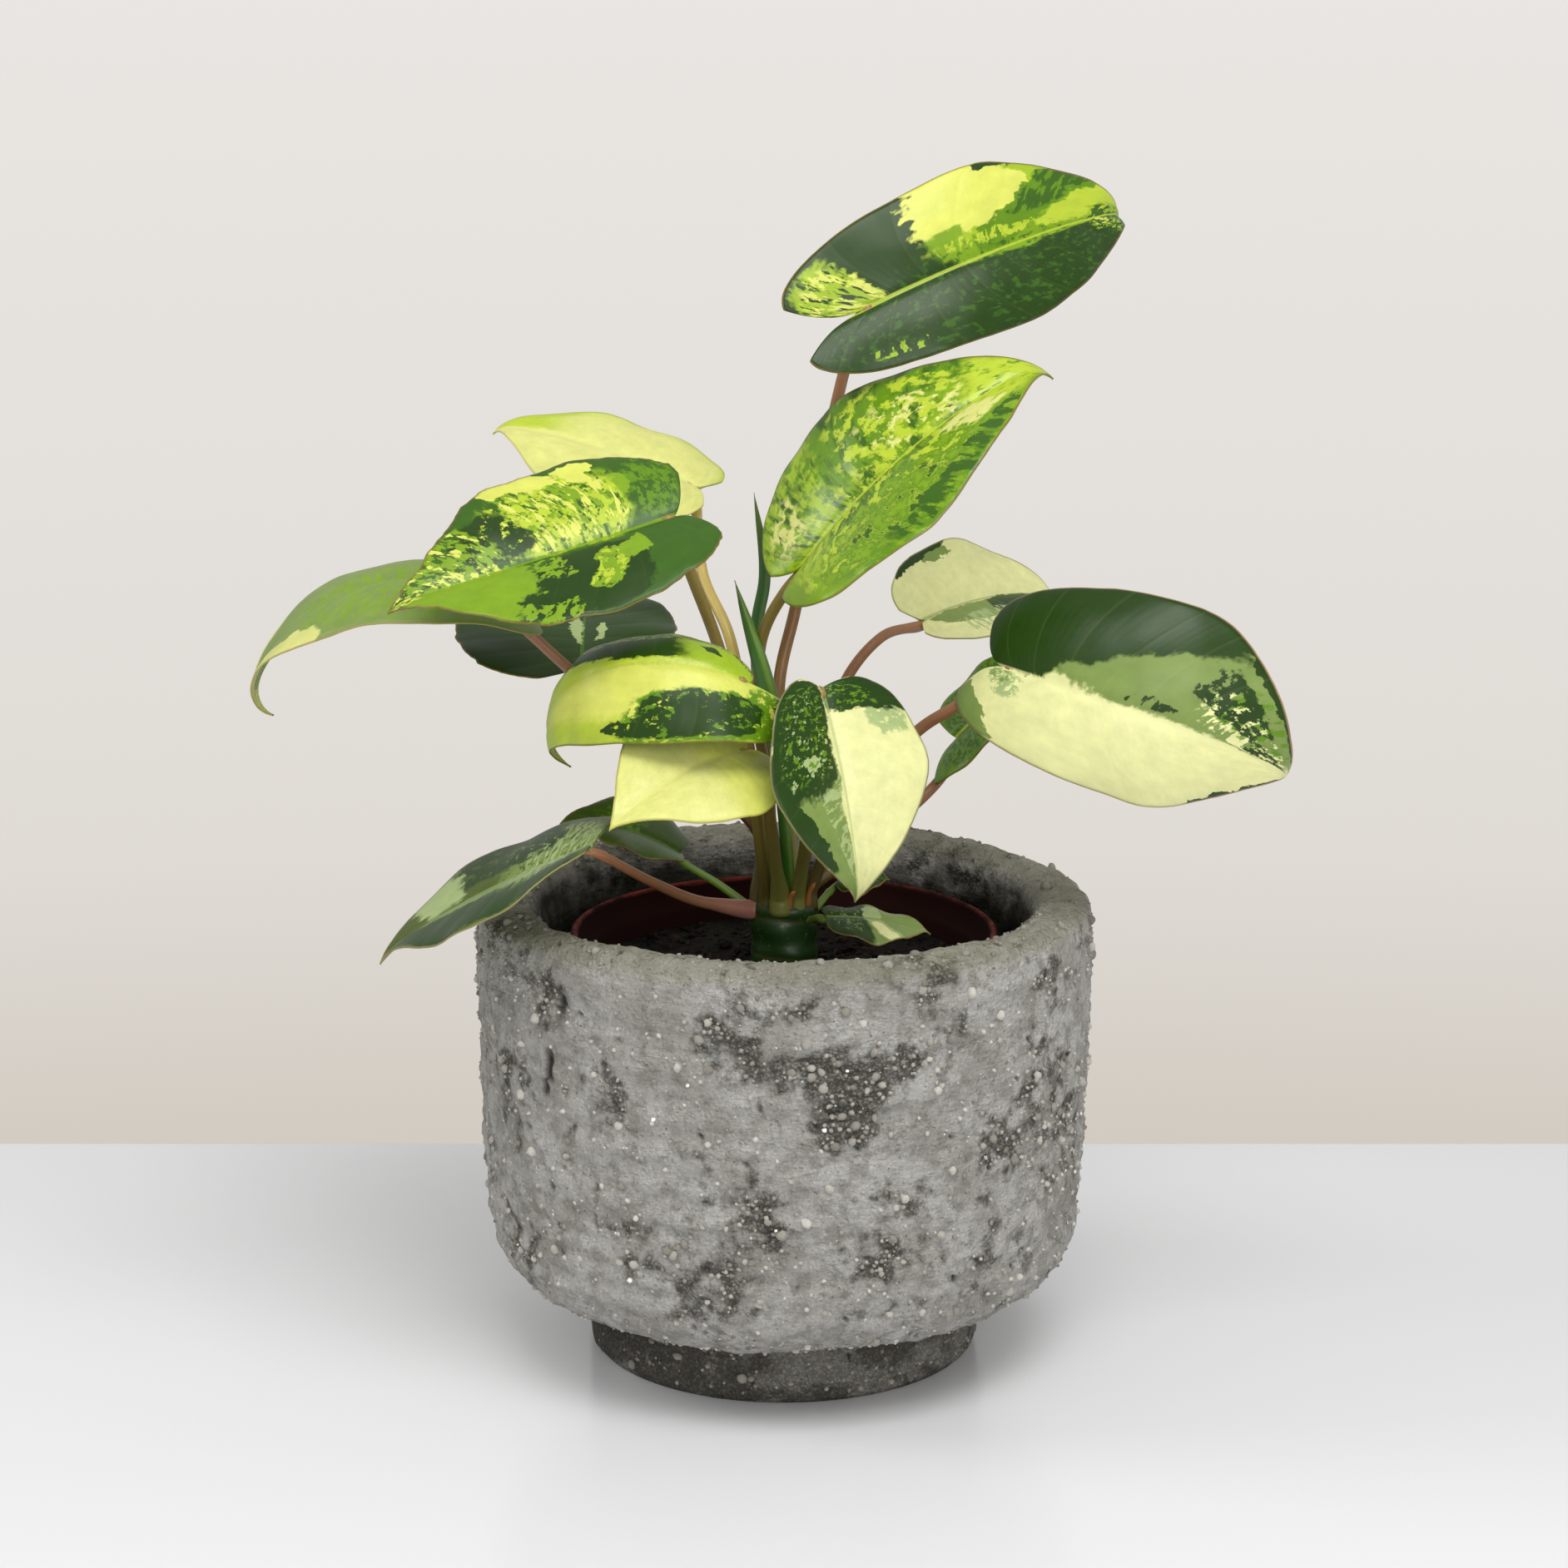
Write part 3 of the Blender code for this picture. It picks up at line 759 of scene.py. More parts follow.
    def blade_point(self, flat: Vector, u: float, v: float, side: int, lift: float) -> Vector:
        """Bend a flat point into the blade, in the part's frame.

        Args:
            flat: The flat point, in millimetres.
            u: Its u.
            v: Its v.
            side: 1 for the left half and -1 for the right.
            lift: Height above the blade's middle layer, in millimetres.

        Returns:
            The point, in metres.
        """
        place, slope, turn = self.midrib_at(flat.x)
        width = self.left if side > 0 else self.right
        rise = radians(self.raise_left if side > 0 else self.raise_right)
        bend = radians(self.arch_left if side > 0 else self.arch_right) / width
        lean = rise - bend * flat.y
        across = (sin(rise) - sin(lean)) / bend * side
        height = (cos(lean) - cos(rise)) / bend
        ripple = sin(tau * (2.5 * flat.x / self.length + 0.2 * side))
        height += self.wave * ripple * v * v * sin(pi * u)
        across -= lift * sin(lean) * side
        height += lift * cos(lean)
        twist = radians(self.twist) * min(1.0, max(0.0, flat.x / self.length))
        along = Vector((cos(slope) * cos(turn), cos(slope) * sin(turn), sin(slope)))
        sideways = Vector((-sin(turn), cos(turn), 0.0))
        up = along.cross(sideways)
        point = place + (sideways * cos(twist) + up * sin(twist)) * across
        point += (up * cos(twist) - sideways * sin(twist)) * height
        return (Vector(self.notch) + self.axes() @ point) * MM

    def build_blade(self) -> bpy.types.Object:
        """Bend a fine grid into the blade's two faces and join them round the margin."""
        shape = new_shape(vectors=("leaf", "flat"))
        leaf = shape.verts.layers.float_vector["leaf"]
        flat = shape.verts.layers.float_vector["flat"]
        bmesh.ops.create_grid(shape, x_segments=self.rows, y_segments=2 * self.columns, size=1.0)
        upper_verts = list(shape.verts)
        copy = bmesh.ops.duplicate(shape, geom=shape.faces[:])
        lower = [item for item in copy["geom"] if isinstance(item, bmesh.types.BMVert)]
        under = set(lower)
        bmesh.ops.reverse_faces(shape, faces=[f for f in copy["geom"] if isinstance(f, bmesh.types.BMFace)])
        for vert in [*upper_verts, *lower]:
            u = (vert.co.x + 1.0) / 2.0
            side = 1 if vert.co.y >= 0.0 else -1
            v = abs(vert.co.y)
            point, edge = self.flat_point(u, v, side)
            height = self.relief(point, u, v)
            half = 0.16 + 0.14 * min(1.0, edge / 1.5)
            if vert in under:
                rib = 0.75 * exp(-((point.y / 0.9) ** 2)) * (1.0 - 0.85 * u)
                height -= half + rib
            else:
                height += half
            vert[leaf] = (u, v * side, 1.0 if vert in under else 0.0)
            vert[flat] = (point.x, point.y * side, edge)
            vert.co = self.blade_point(point, u, v, side, height)
        border = [e for e in shape.edges if e.is_boundary]
        bmesh.ops.bridge_loops(shape, edges=border)
        bmesh.ops.remove_doubles(shape, verts=shape.verts, dist=0.01 * MM)
        return finished(f"philodendron_leaf_{self.number:02d}", shape, self.finish.material(f"leaf_{self.number:02d}"))

    def stalk_run(self) -> list[Vector]:
        """Give the stalk's centre line from the stem to the blade's underside and a little way along its midrib."""
        bearing = radians(self.bearing)
        out = Vector((cos(bearing), sin(bearing), 0.0))
        on_top = self.ring != "side"
        start = STEM_CENTRE + out * (RINGS[self.ring] - (0.0 if on_top else 2.0)) + Vector((0.0, 0.0, self.foot))
        lead = Vector((0.0, 0.0, 2.0)) if on_top else out * 4.0
        if on_top:
            start.z -= 3.0
            lead.z += 3.0
        under = self.axes() @ Vector((0.0, 0.0, 1.0))
        along = self.axes() @ Vector((1.0, 0.0, 0.0))
        passes = [Vector(point) for point in self.passes]
        notch = Vector(self.notch)
        arrive = (notch - passes[-1]).normalized()
        rise = self.tip_radius * sqrt(max(0.0, 1.0 - arrive.dot(under) ** 2))
        end = notch - under * (BLADE_THICKNESS / 2 + 0.3 + rise)
        into = notch - under * (0.25 + 0.35 * self.tip_radius) + along * 2.5
        run = [start, *curve_through([start + lead, *passes, end, into], 12)]
        return [point * MM for point in spaced(run, 1.2)]

    def build_stalk(self) -> bpy.types.Object:
        """Sweep the stalk: sheathed at its base, grooved on top and a little swollen under the blade."""
        shape = new_shape("along", "around")
        run = self.stalk_run()
        knee = 1.0 - 7.0 * MM / ((len(run) - 1) * 1.2 * MM)

        def radius(share: float, angle: float) -> float:
            """Radius of the stalk at a share of its length."""
            plain = self.base_radius + (self.tip_radius - self.base_radius) * share
            wrap = (self.sheath - plain) * (1.0 - smooth_step(0.0, self.sheath_share, share))
            swell = 0.22 * exp(-(((share - knee) / 0.03) ** 2))
            fade = 1.0 - 0.45 * smooth_step(0.985, 1.0, share)
            groove = 1.0 - 0.12 * exp(-(((angle - pi / 2.0) / 0.5) ** 2)) * smooth_step(0.05, 0.3, share)
            return (plain + max(0.0, wrap) + swell) * fade * groove * MM

        stroke(shape, run, radius, 16)
        return finished(
            f"philodendron_stalk_{self.number:02d}", shape, self.stalk_finish.material(f"stalk_{self.number:02d}")
        )

    def build(self) -> None:
        """Make the blade and the stalk and stand them in the frame."""
        self.draw_midrib()
        register(self.build_blade(), self.slot, f"leaf_blade_{self.number:02d}")
        register(self.build_stalk(), "stalk_brown", f"leaf_stalk_{self.number:02d}")


@dataclass(frozen=True)
class GrittyFinish:
    """Coarse unglazed pot: a pale plaster-like coat, worn through to darker grit, with painted shade in its pits, gaps
    and mouth and a few painted glints.
    """

    coat: Colour = srgb(232, 230, 225)
    coat_shade: Colour = srgb(204, 201, 194)
    bare: Colour = srgb(170, 167, 158)
    bare_dark: Colour = srgb(124, 121, 112)
    foot: Colour = srgb(118, 115, 106)
    foot_pale: Colour = srgb(178, 175, 166)
    lip: Colour = srgb(176, 173, 146)
    # Near black colour of the painted shade in pits, fine pits and the gaps between grains.
    crack_shade: Colour = srgb(46, 43, 38)

    def material(self, name: str) -> bpy.types.Material:
        """Lay out the pot's material from its own values: worn, pit, low (the foot), and the painted shade inside the
        mouth.
        """
        sheet = NodeSheet(name)
        place = sheet.place()
        worn, pit, low, inner_shade = (sheet.attribute(value).outputs["Fac"] for value in ("worn", "pit", "low", "inner_shade"))
        broad = sheet.noise(place, 55.0, 5.0, 0.62).outputs["Fac"]
        layered = sheet.vector("MULTIPLY", place, (1.0, 1.0, 3.2))
        thrown = sheet.noise(layered, 150.0, 5.0, 0.65).outputs["Fac"]
        close = sheet.noise(place, 480.0, 6.0, 0.72).outputs["Fac"]
        grains = sheet.cells(place, 620.0)
        fines = sheet.cells(place, 980.0)
        finest = sheet.noise(place, 1500.0, 3.0, 0.65).outputs["Fac"]
        coat = sheet.mix(sheet.ease(broad, 0.36, 0.62), self.coat_shade, self.coat)
        coat = sheet.mix(0.5, coat, sheet.mix(thrown, (0.66, 0.66, 0.65), (1.28, 1.28, 1.29)), "MULTIPLY")
        mottle = sheet.noise(place, 210.0, 4.0, 0.62).outputs["Fac"]
        coat = sheet.mix(sheet.math("MULTIPLY", sheet.ease(mottle, 0.46, 0.62), 0.62), coat, self.bare)
        bare = sheet.mix(sheet.ease(thrown, 0.38, 0.62), self.bare_dark, self.bare)
        edge = sheet.math("ADD", worn, sheet.math("MULTIPLY_ADD", close, 1.4, -0.7))
        edge = sheet.math("ADD", edge, sheet.math("MULTIPLY_ADD", mottle, 1.0, -0.5))
        colour = sheet.mix(sheet.ease(edge, 0.15, 0.95), coat, bare)
        under = sheet.mix(sheet.ease(broad, 0.48, 0.6), self.foot, self.foot_pale)
        colour = sheet.mix(low, colour, under)
        parts = sheet.node("ShaderNodeSeparateXYZ")
        sheet.feed(parts.inputs[0], place)
        rim = sheet.ease(parts.outputs[2], 0.1255, 0.1300)
        colour = sheet.mix(sheet.math("MULTIPLY", rim, 0.6), colour, self.lip)
        # Painted shade in the low places of the close noise, which also sinks the bump there, and painted light on its
        # crests.
        crevice_shade = sheet.ease(close, 0.43, 0.30)
        crest_light = sheet.ease(close, 0.54, 0.68)
        colour = sheet.mix(sheet.math("MULTIPLY", crevice_shade, 0.5), colour, self.bare_dark)
        colour = sheet.mix(sheet.math("MULTIPLY", crest_light, 0.28), colour, self.coat)
        pick = sheet.node("ShaderNodeSeparateXYZ")
        sheet.feed(pick.inputs[0], grains.outputs["Color"])
        speck = sheet.ease(grains.outputs["Distance"], 0.2, 0.1)
        # Painted shade of fine pits: a few cells become near black specks that stand for small holes.
        dark = sheet.math("MULTIPLY", speck, sheet.ease(pick.outputs[0], 0.88, 0.9))
        # Painted glints: a very few cells become white specks, which are also less rough.
        glint_speck = sheet.math("MULTIPLY", speck, sheet.ease(pick.outputs[1], 0.985, 0.99))
        colour = sheet.mix(sheet.math("MULTIPLY", dark, 0.7), colour, self.crack_shade)
        colour = sheet.mix(glint_speck, colour, srgb(250, 250, 248))
        gritty = sheet.math("MAXIMUM", sheet.ease(edge, 0.22, 0.85), sheet.math("MULTIPLY", low, 0.55))
        # Painted shade between the grain knobs of the bump: dark outlines at the cell edges, stronger where the pot is
        # gritty.
        gap = sheet.ease(fines.outputs["Distance"], 0.34, 0.56)
        gap = sheet.math("MULTIPLY", gap, sheet.math("MULTIPLY_ADD", gritty, 0.50, 0.10))
        colour = sheet.mix(gap, colour, self.crack_shade)
        grain_shade = sheet.mix(fines.outputs["Color"], (0.72, 0.72, 0.70), (1.25, 1.25, 1.25))
        colour = sheet.mix(sheet.math("MULTIPLY", gritty, 0.5), colour, grain_shade, "MULTIPLY")
        colour = sheet.mix(0.6, colour, sheet.mix(finest, (0.55, 0.55, 0.54), (1.42, 1.42, 1.42)), "MULTIPLY")
        # Painted shade in the pits and chips, which are also sunk into the wall.
        colour = sheet.mix(sheet.math("MULTIPLY", pit, 0.9), colour, self.crack_shade)
        # Painted shade: the inner wall of the mouth is darkened to near black below the rim.
        inner_shade_tint = sheet.mix(inner_shade, (1.0, 1.0, 1.0), (0.10, 0.10, 0.08))
        colour = sheet.mix(1.0, colour, inner_shade_tint, "MULTIPLY")
        dome = sheet.math("MULTIPLY", sheet.ease(grains.outputs["Distance"], 0.5, 0.0), pick.outputs[2])
        grit = sheet.math("MULTIPLY_ADD", dome, 0.5, close)
        grit = sheet.math("MULTIPLY_ADD", thrown, 1.2, grit)
        grit = sheet.math("MULTIPLY_ADD", mottle, -0.9, grit)
        knobs = sheet.math("MULTIPLY", sheet.ease(fines.outputs["Distance"], 0.55, 0.1), gritty)
        grit = sheet.math("MULTIPLY_ADD", knobs, 0.55, grit)
        sheet.set(
            Base_Color=colour,
            Roughness=sheet.math("MULTIPLY_ADD", glint_speck, -0.7, 0.95),
            Normal=sheet.bump(grit, 1.0, 0.0040),
            Specular_IOR_Level=0.2,
        )
        return sheet.material


@dataclass(frozen=True)
class GrainFinish:
    """Grit that stands out of the pot: each grain has its own shade, from bare and dark to coated and pale."""

    dark: Colour = srgb(112, 108, 99)
    pale: Colour = srgb(196, 193, 184)
    glint: Colour = srgb(248, 247, 243)

    def material(self, name: str) -> bpy.types.Material:
        """Lay out the grit's material from each grain's own shade."""
        sheet = NodeSheet(name)
        shade = sheet.attribute("shade").outputs["Fac"]
        close = sheet.noise(sheet.place(), 900.0, 4.0, 0.7).outputs["Fac"]
        colour = sheet.mix(shade, self.dark, self.pale)
        glint = sheet.ease(shade, 0.985, 0.99)
        colour = sheet.mix(glint, colour, self.glint)
        colour = sheet.mix(0.7, colour, sheet.mix(close, (0.6, 0.6, 0.6), (1.3, 1.3, 1.3)), "MULTIPLY")
        sheet.set(
            Base_Color=colour,
            Roughness=sheet.math("MULTIPLY_ADD", glint, -0.6, 0.9),
            Normal=sheet.bump(close, 0.5, 0.0004),
            Specular_IOR_Level=0.25,
        )
        return sheet.material


@dataclass(frozen=True)
class WornSpot:
    """A place on the pot that differs: bearing in degrees, then height and half sizes in millimetres."""

    bearing: float
    height: float
    half_width: float
    half_height: float
    depth: float = 1.0


@dataclass
class OuterPot:
    """The coarse grey pot: a thick turned bowl with a rounded lip on a plain foot."""

    height: float = 131.0
    radius: float = 86.0
    mouth: float = 70.0
    floor: float = 14.0
    foot_radius: float = 56.0
    foot_height: float = 18.5
    turns: int = 440
    fine: float = 1.15
    coarse: float = 4.0
    front_rise: float = 1.5
    grains: int = 4000
    big_grains: int = 450
    batch: int = 60
    spots: tuple[WornSpot, ...] = (
        WornSpot(-82.0, 103.5, 20.0, 9.5, 0.85),
        WornSpot(-78.6, 88.0, 8.0, 8.0, 0.9),
        WornSpot(-103.0, 56.0, 26.0, 15.0, 0.45),
        WornSpot(-67.0, 63.0, 14.0, 13.0, 0.45),
        WornSpot(-39.0, 96.0, 14.0, 9.0, 0.5),
        WornSpot(-150.0, 46.0, 12.0, 10.0, 0.5),
        WornSpot(-47.0, 76.0, 9.0, 12.0, 0.5),
        WornSpot(-88.0, 121.0, 14.0, 3.0, 0.6),
        WornSpot(60.0, 92.0, 24.0, 12.0, 0.7),
        WornSpot(110.0, 60.0, 20.0, 14.0, 0.6),
        WornSpot(10.0, 58.0, 18.0, 12.0, 0.6),
        WornSpot(170.0, 88.0, 16.0, 12.0, 0.6),
    )
    chips: tuple[WornSpot, ...] = (
        WornSpot(-133.0, 116.0, 1.7, 3.6, 1.3),
        WornSpot(-137.0, 98.0, 1.6, 5.0, 1.2),
        WornSpot(-138.0, 91.0, 2.6, 2.6, 1.0),
        WornSpot(-126.0, 66.0, 1.2, 2.2, 0.7),
        WornSpot(-126.5, 58.0, 1.2, 2.4, 0.7),
        WornSpot(-104.0, 50.0, 1.8, 1.3, 0.8),
        WornSpot(-75.0, 52.0, 1.6, 1.3, 0.8),
        WornSpot(-94.0, 95.0, 1.3, 1.6, 0.8),
    )

    def profile(self) -> tuple[list[Vector], int]:
        """Give the section from the floor inside, over the lip and down to the middle of the underside, in mm."""
        lip = (self.radius - self.mouth) / 2
        centre = Vector((self.mouth + lip, self.height - lip * 0.72))
        inside = [(0.0, self.floor), (50.0, self.floor), (57.0, 18.0), (63.0, 28.0), (67.0, 48.0), (69.0, 80.0)]
        inside += [(69.6, 100.0)]
        rim = [
            (centre.x + lip * cos(radians(a)), centre.y + lip * 0.72 * sin(radians(a))) for a in range(180, -1, -20)
        ]
        belly = [(self.radius + 0.2, 108.0), (self.radius - 0.4, 85.0), (self.radius - 1.2, 62.0)]
        turn_in = [(self.radius - 2.2, 45.0), (82.6, 35.0), (80.0, 29.0), (75.5, 24.4), (69.0, 20.8), (61.0, 19.0)]
        foot = [
            (self.foot_radius + 0.8, self.foot_height - 1.2),
            (self.foot_radius, self.foot_height - 4.0),
            (self.foot_radius - 0.3, 2.0),
            (self.foot_radius - 1.8, 0.05),
        ]
        inner = [Vector(point) for point in inside]
        outer = [Vector(inside[-1]), *(Vector(point) for point in rim + belly + turn_in)]
        base = [Vector(point) for point in foot]
        run = spaced(curve_through([v.to_3d() for v in inner], 8), self.coarse)[:-1]
        run += spaced(curve_through([v.to_3d() for v in outer], 10), self.fine)
        run += spaced([outer[-1].to_3d(), *(v.to_3d() for v in base)], self.fine)[1:]
        edge = len(run)
        run += spaced([base[-1].to_3d(), Vector((0.0, 0.0, 0.0))], self.coarse * 2)[1:]
        return run, edge

    def reach(self, spot: WornSpot, bearing: float, height: float) -> float:
        """Give how far a place is from a spot, where 1 is the spot's own half size."""
        turn = (bearing - radians(spot.bearing) + pi) % tau - pi
        return sqrt((turn * self.radius / spot.half_width) ** 2 + ((height - spot.height) / spot.half_height) ** 2)

    def surface(self, place: Vector) -> tuple[float, float, float, float]:
        """Work out the rough surface at a place of the plain form.

        Args:
            place: The place, in millimetres.

        Returns:
            How far the surface stands proud in millimetres, how worn the coat is, how deep a pit is, and how much the
            place belongs to the foot.
        """
        bearing = atan2(place.y, place.x)
        low = 1.0 - smooth_step(17.5, 20.0, place.z)
        worn = 0.85 * noise.fractal(place / 22.0, 0.9, 2.0, 4) + 0.6 * noise.noise(place / 6.0)
        worn += 0.45 * noise.noise(place / 2.6) - 0.15
        worn += sum(spot.depth * exp(-(self.reach(spot, bearing, place.z) ** 3)) for spot in self.spots)
        worn = smooth_step(-0.35, 0.95, worn)
        rings = noise.noise(Vector((place.z / 3.4, sin(bearing) * 1.6, cos(bearing) * 1.6 + 5.0)))
        swell = noise.noise(place / 24.0 + Vector((9.0, 0.0, 0.0)))
        lumps = noise.noise(place / 5.5 + Vector((0.0, 3.0, 0.0)))
        grit = noise.noise(place / 2.6)
        rise = 0.5 * swell + 0.8 * rings + 0.7 * lumps - 0.4 * worn + grit * (0.5 + 0.35 * worn)
        near = noise.voronoi(place / 5.5)[0][0]
        pit = (1.0 - smooth_step(0.10, 0.17, near)) * (1.0 if noise.noise(place / 9.0) > 0.22 else 0.0)
        ragged = 1.0 + 0.9 * noise.noise(place / 2.2)
        for chip in self.chips:
            pit = max(pit, chip.depth * (1.0 - smooth_step(0.5, 1.0, self.reach(chip, bearing, place.z) * ragged)))
        settle = smooth_step(0.3, 3.0, place.z)
        return (rise - pit) * settle, worn, min(1.0, pit), low

    def lip_swell(self, place: Vector) -> float:
        """Give how far the lip stands higher than its plain section at a place, in millimetres."""
        off = (atan2(place.y, place.x) + pi / 2 + pi) % tau - pi
        return self.front_rise * exp(-((off / radians(50.0)) ** 2)) * smooth_step(122.0, 128.0, place.z)

    def build_wall(self) -> bpy.types.Object:
        """Wrap the section round the axis, then push each point in or out into the rough surface."""
        shape = new_shape("worn", "pit", "low", "inner_shade")
        worn, pit, low, inner_shade = (shape.verts.layers.float[name] for name in ("worn", "pit", "low", "inner_shade"))
        run, _ = self.profile()
        wrap(shape, run, self.turns)
        for vert in shape.verts:
            place = vert.co / MM
            rise, vert[worn], vert[pit], vert[low] = self.surface(place)
            across = Vector((place.x, place.y)).length
            facing = (vert.normal.x * place.x + vert.normal.y * place.y) / max(across, 0.001)
            hollow = facing < 0.3 and vert.normal.z > -0.5
            inside = 1.0 - smooth_step(self.mouth - 0.5, self.mouth + 3.5, across + 0.8 * noise.noise(place / 4.0))
            inside *= float(hollow)
            # Painted shade inside the mouth: darkened below the rim, and higher up on the left side, where the inner
            # wall faces away from the window light.
            shady = 5.0 * max(0.0, -place.x / max(across, 1.0))
            patchy = 4.0 * noise.noise(place / 9.0) + 2.5 * noise.noise(place / 3.0) - shady
            vert[inner_shade] = inside * (1.0 - smooth_step(116.0, 128.0, place.z + patchy))
            vert[low] *= 1.0 - inside
            vert.co += vert.normal * rise * MM
            vert.co.z = max(0.0, vert.co.z + self.lip_swell(place) * MM)
        return finished("coarse_pot", shape, GrittyFinish().material("coarse_pot"))

    def build_grit(self) -> bpy.types.Object:
        """Scatter grains over the outside, thicker where the coat is worn, each sunk into the surface."""
        draw = random.Random(41)
        whole = new_shape("shade")
        part = new_shape("shade")
        run, edge = self.profile()
        outside = [point for point in run[:edge] if point.x > self.mouth + 1.0 or (point.y < 22.0 and point.x > 40.0)]
        outside = [point for point in outside if point.y > 1.5]
        placed = 0
        while placed < self.grains + self.big_grains:
            big = placed >= self.grains
            number = draw.randrange(1, len(outside) - 1)
            spot, beside = outside[number], outside[number + 1]
            bearing = draw.uniform(0.0, tau)
            place = Vector((spot.x * cos(bearing), spot.x * sin(bearing), spot.y))
            rise, worn, _, _ = self.surface(place)
            if draw.random() > 0.12 + 0.88 * worn**1.4 or draw.random() > spot.x / self.radius:
                continue
            fall = (beside - spot).normalized()
            out = Vector((-fall.y * cos(bearing), -fall.y * sin(bearing), fall.x))
            size = draw.uniform(0.85, 1.5) if big else draw.uniform(0.35, 0.9)
            centre = place + out * (rise + size * draw.uniform(-0.35, 0.2))
            centre.z += self.lip_swell(place)
            centre.z = max(centre.z, size)
            stretch = Matrix.Diagonal((draw.uniform(0.8, 1.2), draw.uniform(0.8, 1.2), draw.uniform(0.7, 1.0), 1.0))
            turn = Matrix.Rotation(draw.uniform(0.0, tau), 4, Vector((draw.gauss(0, 1), draw.gauss(0, 1), 1.0)))
            shade = part.verts.layers.float["shade"]
            made = bmesh.ops.create_icosphere(
                part, subdivisions=2 if big else 1, radius=size * MM,
                matrix=Matrix.Translation(centre * MM) @ turn @ stretch,
            )
            grey = 1.0 if draw.random() < 0.012 else min(0.95, 0.1 + draw.random() * (1.1 - 0.6 * worn))
            if place.z > self.height - 8.0 or place.z < self.foot_height:
                grey *= 0.45
            for vert in made["verts"]:
                vert[shade] = grey
                vert.co += Vector((draw.gauss(0, 1), draw.gauss(0, 1), draw.gauss(0, 1))) * 0.08 * size * MM
            placed += 1
            if placed % self.batch == 0:
                gather(whole, part)
                part = new_shape("shade")
        gather(whole, part)
        return finished("coarse_pot_grit", whole, GrainFinish().material("coarse_pot_grit"))

    def build(self) -> None:
        """Make the pot and its grit and stand them in the frame."""
        register(self.build_wall(), "coarse_grey_pot", "outer_pot")
        register(self.build_grit(), "coarse_grey_pot")


@dataclass(frozen=True)
class PlasticFinish:
    """Satin red-brown moulded plastic, dusty with compost in patches, with painted shade making it near black below its
    rim.
    """

    colour: Colour = srgb(112, 38, 28)
    dust_and_shade: Colour = srgb(15, 10, 8)

    def material(self, name: str) -> bpy.types.Material:
        """Lay out the plastic, with dust that settles unevenly and painted shade, near black, below the rim."""
        sheet = NodeSheet(name)
        place = sheet.place()
        film = sheet.noise(place, 70.0, 5.0, 0.65).outputs["Fac"]
        fine = sheet.noise(place, 1400.0, 2.0, 0.6).outputs["Fac"]
        parts = sheet.node("ShaderNodeSeparateXYZ")
        sheet.feed(parts.inputs[0], place)
        depth = sheet.math("MULTIPLY_ADD", film, 0.005, parts.outputs[2])
        # Random patches of dust, and painted shade: near black everywhere below the rim.
        dust_and_shade_mask = sheet.math("MAXIMUM", sheet.ease(film, 0.5, 0.8), sheet.ease(depth, 0.1232, 0.1216))
        colour = sheet.mix(sheet.math("MULTIPLY", dust_and_shade_mask, 0.92), self.colour, self.dust_and_shade)
        sheet.set(
            Base_Color=colour,
            Roughness=sheet.math("MULTIPLY_ADD", dust_and_shade_mask, 0.4, 0.5),
            Specular_IOR_Level=0.15,
            Normal=sheet.bump(fine, 0.12, 0.0002),
        )
        return sheet.material


@dataclass
class NurseryPot:
    """The thin plastic pot: sloping wall, deeper band at the rim, and a rolled edge."""

    radius: float = 60.0
    base_radius: float = 43.0
    wall: float = 1.2
    band: float = 7.0
    top: float = 120.0
    base: float = 14.3
    turns: int = 160

    def profile(self) -> list[Vector]:
        """Give the section from the middle of the floor inside, over the rim and down the outside, in mm."""
        neck = self.top - self.band
        neck_radius = self.radius - 2.6
        roll = [
            Vector((self.radius - 1.0 + 1.15 * cos(radians(a)), self.top - 1.1 + 1.15 * sin(radians(a))))
            for a in range(190, -31, -20)
        ]
        return [
            Vector((0.0, self.base + self.wall)),
            Vector((self.base_radius - self.wall, self.base + self.wall)),
            Vector((neck_radius - self.wall - 0.3, neck - 1.5)),
            Vector((neck_radius - self.wall, neck)),
            Vector((self.radius - self.wall - 1.1, neck + 1.2)),
            *roll,
            Vector((self.radius - 0.6, neck + 0.6)),
            Vector((self.radius - 0.8, neck)),
            Vector((neck_radius, neck - 0.8)),
            Vector((self.base_radius, self.base)),
            Vector((0.0, self.base)),
        ]

    def build(self) -> None:
        """Spin the section into the pot and stand it in the frame."""
        shape = new_shape()
        line = [shape.verts.new((point.x * MM, 0.0, point.y * MM)) for point in self.profile()]
        edges = [shape.edges.new(pair) for pair in zip(line, line[1:])]
        bmesh.ops.spin(
            shape, geom=[*line, *edges], cent=(0, 0, 0), axis=(0, 0, 1), dvec=(0, 0, 0), angle=tau,
            steps=self.turns, use_merge=True, use_duplicate=False,
        )
        bmesh.ops.remove_doubles(shape, verts=shape.verts, dist=0.02 * MM)
        bmesh.ops.recalc_face_normals(shape, faces=shape.faces)
        piece = finished("plastic_pot", shape, PlasticFinish().material("plastic_pot"))
        piece.data.set_sharp_from_angle(angle=radians(50.0))
        register(piece, "red_brown_plastic", "nursery_pot")


